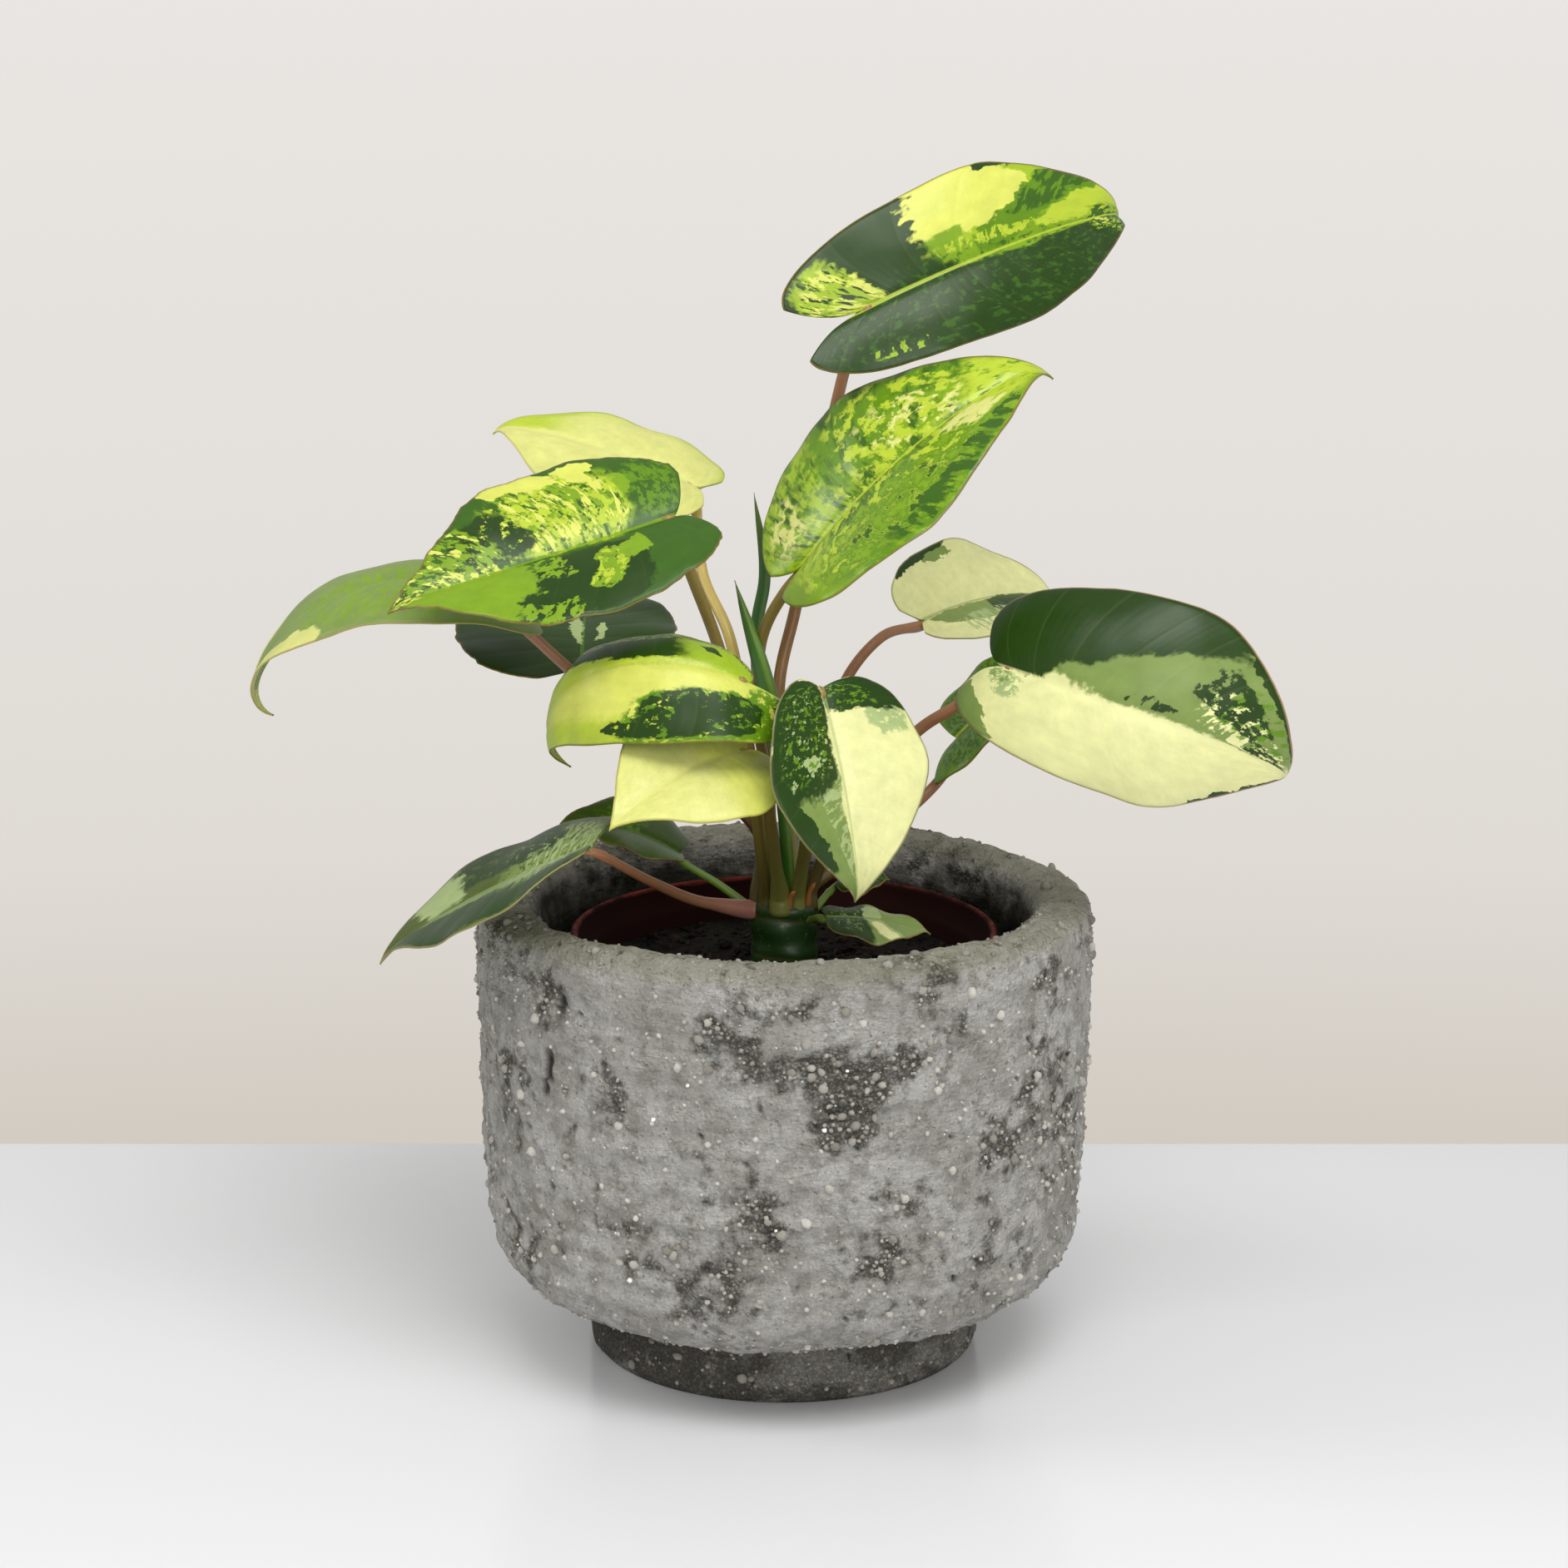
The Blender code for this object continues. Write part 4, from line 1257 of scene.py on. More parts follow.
@dataclass(frozen=True)
class CompostFinish:
    """Damp dark compost with paler fibres and a little moss."""

    dark: Colour = srgb(12, 10, 7)
    brown: Colour = srgb(40, 31, 20)
    moss: Colour = srgb(34, 38, 18)

    def material(self, name: str) -> bpy.types.Material:
        """Lay out the compost with clods, fibres and moss."""
        sheet = NodeSheet(name)
        place = sheet.place()
        clod = sheet.noise(place, 240.0, 6.0, 0.7).outputs["Fac"]
        patch = sheet.noise(place, 38.0, 3.0, 0.6).outputs["Fac"]
        crumbs = sheet.cells(place, 520.0)
        colour = sheet.mix(sheet.ease(clod, 0.42, 0.72), self.dark, self.brown)
        colour = sheet.mix(sheet.math("MULTIPLY", sheet.ease(patch, 0.58, 0.68), 0.5), colour, self.moss)
        height = sheet.math("MULTIPLY_ADD", crumbs.outputs["Distance"], -0.8, clod)
        sheet.set(
            Base_Color=colour,
            Roughness=sheet.scaled(clod, 0.65, 0.98),
            Normal=sheet.bump(height, 0.9, 0.0016),
            Specular_IOR_Level=0.2,
        )
        return sheet.material


@dataclass
class Compost:
    """The compost that fills the plastic pot, lumpy on top, with crumbs and slivers of bark."""

    top: float = 108.0
    bottom: float = 16.1
    base_radius: float = 41.1
    top_radius: float = 54.6
    turns: int = 150
    crumbs: int = 620
    slivers: int = 90
    batch: int = 60

    def level(self, x: float, y: float) -> float:
        """Give the height of the compost at a place, in millimetres."""
        reach = sqrt(x * x + y * y)
        mound = 1.6 * (1.0 - smooth_step(8.0, 46.0, reach))
        lumps = 1.5 * noise.fractal(Vector((x / 9.0, y / 9.0, 2.0)), 0.9, 2.1, 4)
        fine = 0.5 * noise.noise(Vector((x / 1.9, y / 1.9, 7.0)))
        return self.top + mound + (lumps + fine) * (1.0 - 0.5 * smooth_step(48.0, 54.0, reach))

    def build_bed(self) -> bpy.types.Object:
        """Spin the section of the bed and raise its top into lumps."""
        shape = new_shape()
        top = [Vector((self.top_radius * step / 64.0, self.top)) for step in range(65)]
        edge = [Vector((self.base_radius, self.bottom)), Vector((0.0, self.bottom))]
        line = [shape.verts.new((point.x * MM, 0.0, point.y * MM)) for point in top + edge]
        edges = [shape.edges.new(pair) for pair in zip(line, line[1:])]
        bmesh.ops.spin(
            shape, geom=[*line, *edges], cent=(0, 0, 0), axis=(0, 0, 1), dvec=(0, 0, 0), angle=tau,
            steps=self.turns, use_merge=True, use_duplicate=False,
        )
        bmesh.ops.remove_doubles(shape, verts=shape.verts, dist=0.02 * MM)
        bmesh.ops.recalc_face_normals(shape, faces=shape.faces)
        for vert in shape.verts:
            if vert.co.z > (self.top - 1.0) * MM:
                vert.co.z = self.level(vert.co.x / MM, vert.co.y / MM) * MM
        return finished("compost", shape, CompostFinish().material("compost"))

    def build_crumbs(self) -> bpy.types.Object:
        """Strew crumbs and slivers over the bed, round the stem."""
        draw = random.Random(7)
        whole = new_shape()
        part = new_shape()
        for number in range(self.crumbs + self.slivers):
            sliver = number >= self.crumbs
            reach = sqrt(draw.uniform(0.04, 1.0)) * (self.top_radius - 2.5)
            bearing = draw.uniform(0.0, tau)
            x, y = reach * cos(bearing), reach * sin(bearing)
            if (Vector((x, y, 0.0)) - STEM_CENTRE).length < 11.0:
                continue
            size = draw.uniform(0.5, 1.5) * draw.uniform(0.6, 1.3)
            thin = (draw.uniform(1.8, 3.5), draw.uniform(0.35, 0.7), 0.4) if sliver else (1.0, draw.uniform(0.7, 1.2), 0.7)
            turn = Matrix.Rotation(draw.uniform(0.0, tau), 4, "Z") @ Matrix.Rotation(draw.uniform(-0.5, 0.5), 4, "Y")
            centre = Vector((x, y, self.level(x, y) + 0.2 * size)) * MM
            made = bmesh.ops.create_icosphere(
                part, subdivisions=1 if sliver or size < 0.9 else 2, radius=size * MM,
                matrix=Matrix.Translation(centre) @ turn @ Matrix.Diagonal((*thin, 1.0)),
            )
            for vert in made["verts"]:
                vert.co += noise.noise_vector(vert.co * 900.0) * 0.25 * size * MM
            if number % self.batch == 0:
                gather(whole, part)
                part = new_shape()
        gather(whole, part)
        return finished("compost_crumbs", whole, CompostFinish(brown=srgb(66, 48, 33)).material("compost_crumbs"))

    def build(self) -> None:
        """Make the bed and the crumbs and stand them in the frame."""
        register(self.build_bed(), "compost", "soil")
        register(self.build_crumbs(), "compost")


@dataclass(frozen=True)
class StemFinish:
    """Thick glossy dark-green stem with pale flecks and brown rings."""

    green: Colour = srgb(36, 64, 26)
    pale: Colour = srgb(104, 134, 72)
    ring: Colour = srgb(84, 84, 46)

    def material(self, name: str) -> bpy.types.Material:
        """Lay out the stem's skin."""
        sheet = NodeSheet(name)
        place = sheet.place()
        blotch = sheet.noise(place, 130.0, 4.0, 0.6).outputs["Fac"]
        scar = sheet.attribute("scar").outputs["Fac"]
        flecks = sheet.noise(place, 700.0, 3.0, 0.6).outputs["Fac"]
        colour = sheet.mix(sheet.ease(blotch, 0.56, 0.78), self.green, self.pale)
        colour = sheet.mix(sheet.math("MULTIPLY", sheet.ease(flecks, 0.62, 0.68), 0.5), colour, self.pale)
        colour = sheet.mix(sheet.math("MULTIPLY", scar, 0.7), colour, self.ring)
        sheet.set(
            Base_Color=colour,
            Roughness=sheet.scaled(blotch, 0.32, 0.55),
            Normal=sheet.bump(blotch, 0.3, 0.0006),
            Subsurface_Weight=0.08,
            Subsurface_Scale=0.001,
        )
        return sheet.material


@dataclass
class MainStem:
    """The short thick stem with rings where old leaves fell."""

    radius: float = 9.3
    top: float = STEM_TOP
    foot: float = 84.0
    rings: tuple[float, ...] = (124.5, 113.5)

    def build(self) -> None:
        """Spin the stem, swell it between its rings and stand it in the frame."""
        shape = new_shape("scar")
        scar = shape.verts.layers.float["scar"]
        points = [Vector((0.0, self.top)), Vector((self.radius - 2.6, self.top - 0.1))]
        points += [Vector((self.radius - 0.9, self.top - 0.9)), Vector((self.radius, self.top - 2.4))]
        points += [Vector((self.radius, z)) for z in (121.0, 112.0, 102.0)]
        points += [Vector((self.radius - 1.5, self.foot + 2.0)), Vector((self.radius - 4.0, self.foot))]
        run = spaced(curve_through([p.to_3d() for p in points], 6), 0.7) + [Vector((0.0, self.foot, 0.0))]
        line = [shape.verts.new((point.x * MM, 0.0, point.y * MM)) for point in run]
        edges = [shape.edges.new(pair) for pair in zip(line, line[1:])]
        bmesh.ops.spin(
            shape, geom=[*line, *edges], cent=(0, 0, 0), axis=(0, 0, 1), dvec=(0, 0, 0), angle=tau,
            steps=72, use_merge=True, use_duplicate=False,
        )
        bmesh.ops.remove_doubles(shape, verts=shape.verts, dist=0.02 * MM)
        bmesh.ops.recalc_face_normals(shape, faces=shape.faces)
        shape.normal_update()
        for vert in shape.verts:
            z = vert.co.z / MM
            bearing = atan2(vert.co.y, vert.co.x)
            tilt = z + 1.2 * sin(bearing + 0.8)
            mark = max(exp(-(((tilt - ring) / 0.55) ** 2)) for ring in self.rings)
            bulge = 0.2 * sin(tau * (tilt - self.rings[0]) / 6.5 - pi / 2.0)
            lumps = 0.9 * noise.noise(vert.co * 140.0)
            vert[scar] = mark
            vert.co += vert.normal * (bulge + lumps - 0.3 * mark) * MM
            vert.co += STEM_CENTRE * MM
        register(finished("thick_stem", shape, StemFinish().material("thick_stem")), "stem_green", "main_stem")


@dataclass(frozen=True)
class NewLeafFinish:
    """Skin of a rolled new leaf: green, paler along its overlap."""

    green: Colour = srgb(62, 108, 36)
    pale: Colour = srgb(128, 160, 64)
    tip: Colour = srgb(74, 96, 36)

    def material(self, name: str) -> bpy.types.Material:
        """Lay out the rolled leaf's skin."""
        sheet = NodeSheet(name)
        along = sheet.attribute("along").outputs["Fac"]
        around = sheet.attribute("around").outputs["Fac"]
        fibre = sheet.noise(sheet.place(), 420.0, 3.0, 0.6).outputs["Fac"]
        seam = sheet.ease(sheet.math("ABSOLUTE", sheet.math("SUBTRACT", around, 0.72)), 0.12, 0.0)
        colour = sheet.mix(sheet.math("MULTIPLY", seam, 0.6), self.green, self.pale)
        colour = sheet.mix(sheet.ease(along, 0.75, 1.0), colour, self.tip)
        colour = sheet.mix(0.5, colour, sheet.mix(fibre, (0.6, 0.62, 0.6), (1.35, 1.3, 1.3)), "MULTIPLY")
        sheet.set(
            Base_Color=colour,
            Roughness=0.32,
            Normal=sheet.bump(fibre, 0.2, 0.0003),
            Subsurface_Weight=0.1,
            Subsurface_Scale=0.001,
        )
        return sheet.material


@dataclass
class NewLeaf:
    """A rolled new leaf that stands up in its sheath, with a fine point."""

    node: str
    passes: tuple[tuple[float, float, float], ...]
    girth: float
    fullest: float
    foot_radius: float = 1.7
    finish: NewLeafFinish = NewLeafFinish()

    def build(self) -> None:
        """Sweep the rolled leaf and stand it in the frame."""
        shape = new_shape("along", "around")
        points = [Vector(point) for point in self.passes]
        points.insert(1, points[0] + Vector((0.0, 0.0, 2.0)))
        run = [point * MM for point in spaced(curve_through(points, 12), 1.0)]

        def radius(share: float, angle: float) -> float:
            """Radius of the roll, with its overlap standing a little proud."""
            if share < self.fullest:
                size = self.foot_radius + (self.girth - self.foot_radius) * smooth_step(0.25, self.fullest, share)
            else:
                rest = (share - self.fullest) / (1.0 - self.fullest)
                size = self.girth * max(0.05, 1.0 - rest**2)
            turn = (angle / tau + 0.28 + 0.35 * share) % 1.0
            return size * (0.92 + 0.14 * turn) * MM

        stroke(shape, run, radius, 18)
        piece = finished(f"rolled_{self.node}", shape, self.finish.material(f"rolled_{self.node}"))
        register(piece, "new_leaf_green", self.node)


@dataclass(frozen=True)
class RootFinish:
    """Matt orange-brown aerial root."""

    colour: Colour = srgb(150, 92, 44)
    tip: Colour = srgb(196, 132, 72)

    def material(self, name: str) -> bpy.types.Material:
        """Lay out the root's skin."""
        sheet = NodeSheet(name)
        along = sheet.attribute("along").outputs["Fac"]
        rough = sheet.noise(sheet.place(), 900.0, 4.0, 0.7).outputs["Fac"]
        colour = sheet.mix(along, self.colour, self.tip)
        colour = sheet.mix(0.6, colour, sheet.mix(rough, (0.5, 0.5, 0.5), (1.4, 1.35, 1.3)), "MULTIPLY")
        sheet.set(Base_Color=colour, Roughness=0.75, Normal=sheet.bump(rough, 0.5, 0.0004))
        return sheet.material


@dataclass
class AerialRoot:
    """A short aerial root beside the crown."""

    node: str
    passes: tuple[tuple[float, float, float], ...]

    def build(self) -> None:
        """Sweep the root and stand it in the frame."""
        shape = new_shape("along", "around")
        points = [Vector(point) for point in self.passes]
        points[0].z -= 1.5
        run = [point * MM for point in spaced(curve_through(points, 10), 0.4)]

        def radius(share: float, angle: float) -> float:
            """Radius of the root, blunt at its tip."""
            return (0.95 - 0.4 * share) * (1.0 - 0.7 * smooth_step(0.85, 1.0, share)) * MM

        stroke(shape, run, radius, 10)
        piece = finished(f"short_{self.node}", shape, RootFinish().material(f"short_{self.node}"))
        register(piece, "aerial_root", self.node)


@dataclass
class Studio:
    """The table, the pale surroundings, the lights and the camera."""

    camera_place: tuple[float, float, float] = (0.0, -0.9387, 0.3767)
    camera_pitch: float = 12.913
    lens: float = 79.3
    table_back: float = 0.166
    table_reach: float = 2.4

    def build_table(self) -> None:
        """Make the white table, whose back edge is where the photograph's is."""
        shape = new_shape()
        bmesh.ops.create_cube(shape, size=1.0)
        bmesh.ops.scale(shape, vec=(2 * self.table_reach, self.table_reach, 0.03), verts=shape.verts)
        bmesh.ops.translate(shape, vec=(0.0, self.table_back - self.table_reach / 2, -0.01505), verts=shape.verts)
        bmesh.ops.bevel(
            shape, geom=shape.edges[:], offset=0.002, offset_type="OFFSET", affect="EDGES", segments=3, profile=0.5,
            material=-1,
        )
        sheet = NodeSheet("white_table")
        sheet.set(Base_Color=srgb(236, 237, 240), Roughness=0.22, Specular_IOR_Level=0.4)
        table = finished("table", shape, sheet.material)

    def build_world(self) -> None:
        """Show a pale wall to the camera and light the plant softly from all round."""
        world = bpy.data.worlds.new("pale_room")
        bpy.context.scene.world = world
        world.use_nodes = True
        tree = world.node_tree
        tree.nodes.clear()
        output = tree.nodes.new("ShaderNodeOutputWorld")
        wall = tree.nodes.new("ShaderNodeBackground")
        soft = tree.nodes.new("ShaderNodeBackground")
        choose = tree.nodes.new("ShaderNodeMixShader")
        path = tree.nodes.new("ShaderNodeLightPath")
        ramp = tree.nodes.new("ShaderNodeValToRGB")
        height = tree.nodes.new("ShaderNodeSeparateXYZ")
        where = tree.nodes.new("ShaderNodeTexCoord")
        stretch = tree.nodes.new("ShaderNodeMapRange")
        stretch.inputs["From Min"].default_value = -0.34
        stretch.inputs["From Max"].default_value = 0.02
        tree.links.new(where.outputs["Generated"], height.inputs[0])
        tree.links.new(height.outputs[2], stretch.inputs["Value"])
        tree.links.new(stretch.outputs[0], ramp.inputs[0])
        # The wall's colour darkens from top to bottom, towards the table: painted shade on the backdrop.
        ramp.color_ramp.elements[0].color = (*srgb(204, 197, 186), 1.0)
        ramp.color_ramp.elements[1].color = (*srgb(233, 230, 227), 1.0)
        middle = ramp.color_ramp.elements.new(0.28)
        middle.color = (*srgb(223, 218, 212), 1.0)
        tree.links.new(ramp.outputs[0], wall.inputs[0])
        soft.inputs[0].default_value = (1.0, 0.99, 0.97, 1.0)
        soft.inputs[1].default_value = 0.5
        tree.links.new(path.outputs["Is Camera Ray"], choose.inputs[0])
        tree.links.new(soft.outputs[0], choose.inputs[1])
        tree.links.new(wall.outputs[0], choose.inputs[2])
        tree.links.new(choose.outputs[0], output.inputs[0])

    def add_light(self, name: str, place: Vector, size: tuple[float, float], power: float, colour: Colour) -> None:
        """Hang one soft rectangular light that faces the plant."""
        light = bpy.data.lights.new(name, "AREA")
        light.shape = "RECTANGLE"
        light.size, light.size_y = size
        light.energy = power
        light.color = colour
        lamp = bpy.data.objects.new(name, light)
        lamp.location = place
        lamp.rotation_euler = (Vector((0.0, 0.0, 0.16)) - place).to_track_quat("-Z", "Y").to_euler()
        bpy.context.scene.collection.objects.link(lamp)

    def build(self) -> None:
        """Set the stage and the camera."""
        self.build_table()
        self.build_world()
        self.add_light("window", Vector((-1.45, 0.0, 1.05)), (0.62, 0.52), 6.0, (1.0, 0.99, 0.97))
        self.add_light("ceiling", Vector((0.25, -0.8, 1.7)), (1.2, 0.8), 20.0, (1.0, 0.99, 0.97))
        self.add_light("front", Vector((0.6, -1.7, 0.75)), (0.9, 0.7), 10.0, (1.0, 0.99, 0.98))
        lens = bpy.data.cameras.new("camera")
        lens.lens = self.lens
        lens.sensor_width = 36.0
        camera = bpy.data.objects.new("camera", lens)
        camera.location = self.camera_place
        camera.rotation_euler = (radians(90.0 - self.camera_pitch), 0.0, 0.0)
        bpy.context.scene.collection.objects.link(camera)
        bpy.context.scene.camera = camera
        bpy.context.scene.view_settings.view_transform = "Standard"


T, G = Tint, Grain
OLIVE_STALK = StalkFinish(base=srgb(122, 124, 62), middle=srgb(124, 106, 54), tip=srgb(142, 124, 62))
YELLOW_STALK = StalkFinish(base=srgb(176, 168, 84), middle=srgb(190, 168, 92), tip=srgb(196, 170, 96))
PINK_STALK = StalkFinish(base=srgb(92, 80, 44), middle=srgb(136, 94, 64), tip=srgb(156, 110, 78))
MAUVE_STALK = StalkFinish(base=srgb(168, 118, 104), middle=srgb(140, 98, 68), tip=srgb(156, 110, 78))
DIM_STALK = StalkFinish(base=srgb(88, 84, 40), middle=srgb(140, 124, 64), tip=srgb(176, 154, 84))
GREEN_STALK = StalkFinish(base=srgb(110, 138, 62), middle=srgb(110, 140, 58), tip=srgb(104, 134, 54))
TOP, SIDE = STEM_TOP, 125.0

LEAVES = (
    Leaf(1, (21.7, 2, 293), 15, 24, 58, 107, 25, 22, 21, 0.39, 0.34, 48, 95, 10, 8, 20, 22, 10, 33, -12,
         "inner", 10, TOP, ((0.5, 3, 160), (-1.4, 7, 188), (3.4, 12, 210), (13.9, 13, 264)), 1.8, 1.6,
         "leaf_dark_green", LeafFinish(T.DARK, (
             Patch(T.GRASS, 0.665, 0.52, 0.29, 0.62),
             Patch(T.LEAFY, 0.58, 0.70, 0.09, 0.50, 0.04),
             Patch(T.YELLOW, 0.445, 0.82, 0.095, 0.40, 0.03),
             Patch(T.YELLOW, 0.54, 0.62, 0.05, 0.30, 0.10),
             Patch(T.MID, 0.645, 0.60, 0.065, 0.58, 0.16),
             Patch(T.DEEP, 0.665, 0.74, 0.05, 0.34, 0.12, G.STREAKED, 0.62, 0.1, 0.03),
             Patch(T.LIME, 0.80, 0.62, 0.08, 0.46, 0.14),
             Patch(T.LIME, 0.62, 0.20, 0.22, 0.07, 0.0, G.STREAKED, 0.5, 0.2),
             Patch(T.DARK, 0.525, 1.0, 0.05, 0.07),
             Patch(T.LEAFY, 0.08, 0.46, 0.10, 0.42, 0.0, G.STREAKED, 0.60, 0.1, 0.03),
             Patch(T.YELLOW, 0.09, 0.40, 0.09, 0.38, 0.0, G.STREAKED, 0.42, 0.1),
             Patch(T.LEAFY, 0.87, -0.1, 0.08, 0.80, 0.0, G.FLECKED, 0.5),
             Patch(T.YELLOW, 0.84, -0.22, 0.03, 0.26, 0.0, G.FLECKED, 0.7),
             Patch(T.DEEP, 0.88, -0.15, 0.08, 0.75, 0.0, G.STREAKED, 0.4),
             Patch(T.LEAFY, 0.24, -0.78, 0.07, 0.10, 0.0, G.STREAKED, 0.34),
             Patch(T.DEEP, 0.45, -0.40, 0.34, 0.5, 0.0, G.FLECKED, 0.3, 0.4, 0.06),
         ), seed=1.0, gloss=0.34), sheath=2.2),
    Leaf(2, (5.2, -22, 227.6), -12, 53, 39, 90, 34, 32, 10, 0.31, 0.18, 43, 60, 20, 16, 11, 22, 21, 26, -4,
         "inner", 154, TOP, ((-4.5, -4, 165), (-6.6, -9, 202), (0.5, -17, 219)), 1.8, 1.6,
         "leaf_lime", LeafFinish(T.GRASS, (
             Patch(T.MID, 0.42, 0.62, 0.18, 0.46, 0.0, G.FLECKED, 0.85, 0.1, 0.06),
             Patch(T.MID, 0.62, 0.82, 0.18, 0.24, 0.0, G.STREAKED, 0.75, 0.1, 0.05),
             Patch(T.LEAFY, 0.18, 0.30, 0.20, 0.90, 0.0, G.FLECKED, 0.6, 0.1, 0.06),
             Patch(T.MID, 0.50, -0.50, 0.24, 0.60, 0.0, G.FLECKED, 0.60, 0.1, 0.05),
             Patch(T.DEEP, 0.50, 0.45, 0.40, 0.60, 0.0, G.STREAKED, 0.34, 0.3, 0.08),
             Patch(T.LIME, 0.60, 0.48, 0.16, 0.46, 0.0, G.FLECKED, 0.42, 0.2, 0.04),
             Patch(T.LIME, 0.42, -0.30, 0.30, 0.50, 0.0, G.FLECKED, 0.36, 0.2, 0.04),
             Patch(T.BUTTER, 0.64, 0.34, 0.12, 0.30, 0.0, G.FLECKED, 0.28, 0.2, 0.03),
             # Pale flecks on the left lobe: partly pale marbling, partly a painted highlight.
             Patch(T.BUTTER, 0.18, 0.52, 0.07, 0.26, 0.0, G.FLECKED, 0.5, 0.3, 0.06),
             Patch(T.LIME, 0.90, 0.1, 0.12, 0.9, 0.0, G.FLECKED, 0.7, 0.2, 0.05),
             # Pale flecks on the right half: partly pale marbling, partly a painted highlight of the window.
             Patch(T.BUTTER, 0.745, -0.36, 0.05, 0.26, -0.06, G.FLECKED, 0.75, 0.2, 0.05),
             Patch(T.DEEP, 0.60, -0.84, 0.20, 0.12, 0.0, G.STREAKED, 0.6, 0.1, 0.03),
             Patch(T.DEEP, 0.46, -0.62, 0.14, 0.24, 0.0, G.FLECKED, 0.30, 0.1, 0.03),
         ), rib=T.LIME, seed=2.0, gloss=0.22, pucker=0.5, grain=0.62), OLIVE_STALK, sheath=2.3),
    Leaf(3, (-25.8, 50, 238.4), 167, 23, -23, 67, 26, 24, 6, 0.32, 0.30, 23, 45, -9, -5, 9, 29, 5, 34, 4,
         "outer", 120, TOP, ((-7, 6, 150), (-15, 16, 199), (-23, 32, 215)), 1.8, 1.5,
         "leaf_lime", LeafFinish(T.BUTTER, (
             Patch(T.LIME, 0.5, -0.70, 0.50, 0.40, 0.0, G.WHOLE, 0.5, 0.6),
             Patch(T.SAGE, 0.56, -0.24, 0.02, 0.05),
             Patch(T.BUTTER, 0.35, -0.35, 0.30, 0.40, 0.0, G.WHOLE, 0.5, 0.6),
         ), rib=T.BUTTER, seed=3.0, gloss=0.42, edge=srgb(190, 184, 96)), YELLOW_STALK),
    Leaf(4, (-30, -27, 240.8), 204, -14, -32, 81, 28, 30, 8, 0.40, 0.42, 6, 28, -2, -8, 17, 25, 17, 29, 5,
         "inner", 226, TOP, ((-6.5, -9, 160), (-18, -12, 203), (-25, -20, 224)), 1.8, 1.6,
         "leaf_dark_green", LeafFinish(T.DEEP, (
             Patch(T.DARK, 0.46, 0.55, 0.16, 0.45, 0.05),
             Patch(T.GRASS, 0.77, 0.55, 0.155, 0.58, -0.04),
             Patch(T.GRASS, 0.32, 0.28, 0.045, 0.15, 0.05),
             Patch(T.GRASS, 0.41, 0.46, 0.05, 0.26, 0.08, G.FLECKED, 0.72, 0.05, 0.03),
             Patch(T.LIME, 0.41, 0.46, 0.045, 0.24, 0.08, G.FLECKED, 0.36, 0.05, 0.03),
             Patch(T.GRASS, 0.56, 0.90, 0.08, 0.10, 0.0, G.FLECKED, 0.55),
             Patch(T.GRASS, 0.58, 0.26, 0.05, 0.18, 0.0, G.FLECKED, 0.55),
             Patch(T.MID, 0.13, -0.55, 0.10, 0.40, 0.0, G.FLECKED, 0.5, 0.2, 0.06),
             Patch(T.GRASS, 0.25, -0.58, 0.035, 0.14),
             Patch(T.GRASS, 0.47, -0.42, 0.22, 0.44, 0.0, G.STREAKED, 0.60, 0.1, 0.03),
             Patch(T.LIME, 0.47, -0.40, 0.20, 0.40, 0.0, G.FLECKED, 0.50, 0.1, 0.03),
             Patch(T.YELLOW, 0.46, -0.42, 0.18, 0.36, 0.0, G.STREAKED, 0.36),
             Patch(T.YELLOW, 0.465, -0.93, 0.085, 0.17, -0.10),
             Patch(T.YELLOW, 0.34, -0.80, 0.03, 0.10),
             Patch(T.DARK, 0.67, -0.50, 0.09, 0.34, 0.0, G.FLECKED, 0.75, 0.1, 0.03),
             Patch(T.GRASS, 0.80, -0.40, 0.12, 0.60, 0.0, G.STREAKED, 0.55, 0.1, 0.03),
             Patch(T.YELLOW, 0.80, -0.45, 0.12, 0.55, 0.0, G.STREAKED, 0.30),
             Patch(T.YELLOW, 0.95, 0.0, 0.03, 1.0, 0.0, G.STREAKED, 0.5),
         ), rib=T.GRASS, seed=4.0, gloss=0.34, pucker=0.4), OLIVE_STALK, notched=2.2),
    Leaf(5, (-75.3, -2, 213), 186, 31, -6, 95, 33, 30, 10, 0.36, 0.40, 110, 80, 0, 3, 14, 40, 15, 46, 8,
         "outer", 190, TOP, ((-6.5, -5, 147), (-14, -5, 157), (-40, -4, 178), (-61, -2, 196)), 1.8, 1.5,
         "leaf_mid_green", LeafFinish(T.SAGE, (
             Patch(T.GRASS, 0.45, 0.3, 0.26, 0.50, 0.0, G.STREAKED, 0.55, 0.4, 0.08),
             Patch(T.BUTTER, 0.84, 0.98, 0.22, 0.26, 0.0),
             Patch(T.BUTTER, 0.84, -0.98, 0.22, 0.20, 0.0),
             Patch(T.BUTTER, 0.96, 0.0, 0.06, 1.1),
         ), rib=T.GREY, rib_share=0.5, seed=5.0, gloss=0.42, edge=srgb(170, 150, 96)), PINK_STALK),
    Leaf(6, (-57, 18, 193), 92, 20, 0, 66, 37, 27, 12, 0.30, 0.33, 28, 20, 0, -3, 14, 25, 16, 27, 4,
         "outer", 155, TOP, ((-7, 0, 147), (-15, 4, 156), (-37, 11, 172)), 1.8, 1.5,
         "leaf_dark_green", LeafFinish(T.DARK, (
             Patch(T.GREY, 0.42, 0.05, 0.14, 0.05, 0.0, G.WHOLE),
             Patch(T.GREY, 0.40, -0.20, 0.09, 0.045, 0.0, G.WHOLE),
         ), rib=T.MID, rib_share=0.4, seed=6.0, gloss=0.42), PINK_STALK, notched=1.6),
    Leaf(7, (-9.6, -52, 201), 203, 26, -50, 91, 22, 20, 11, 0.33, 0.05, 150, 24, -24, -10, 3, 40, -6, 64, 7,
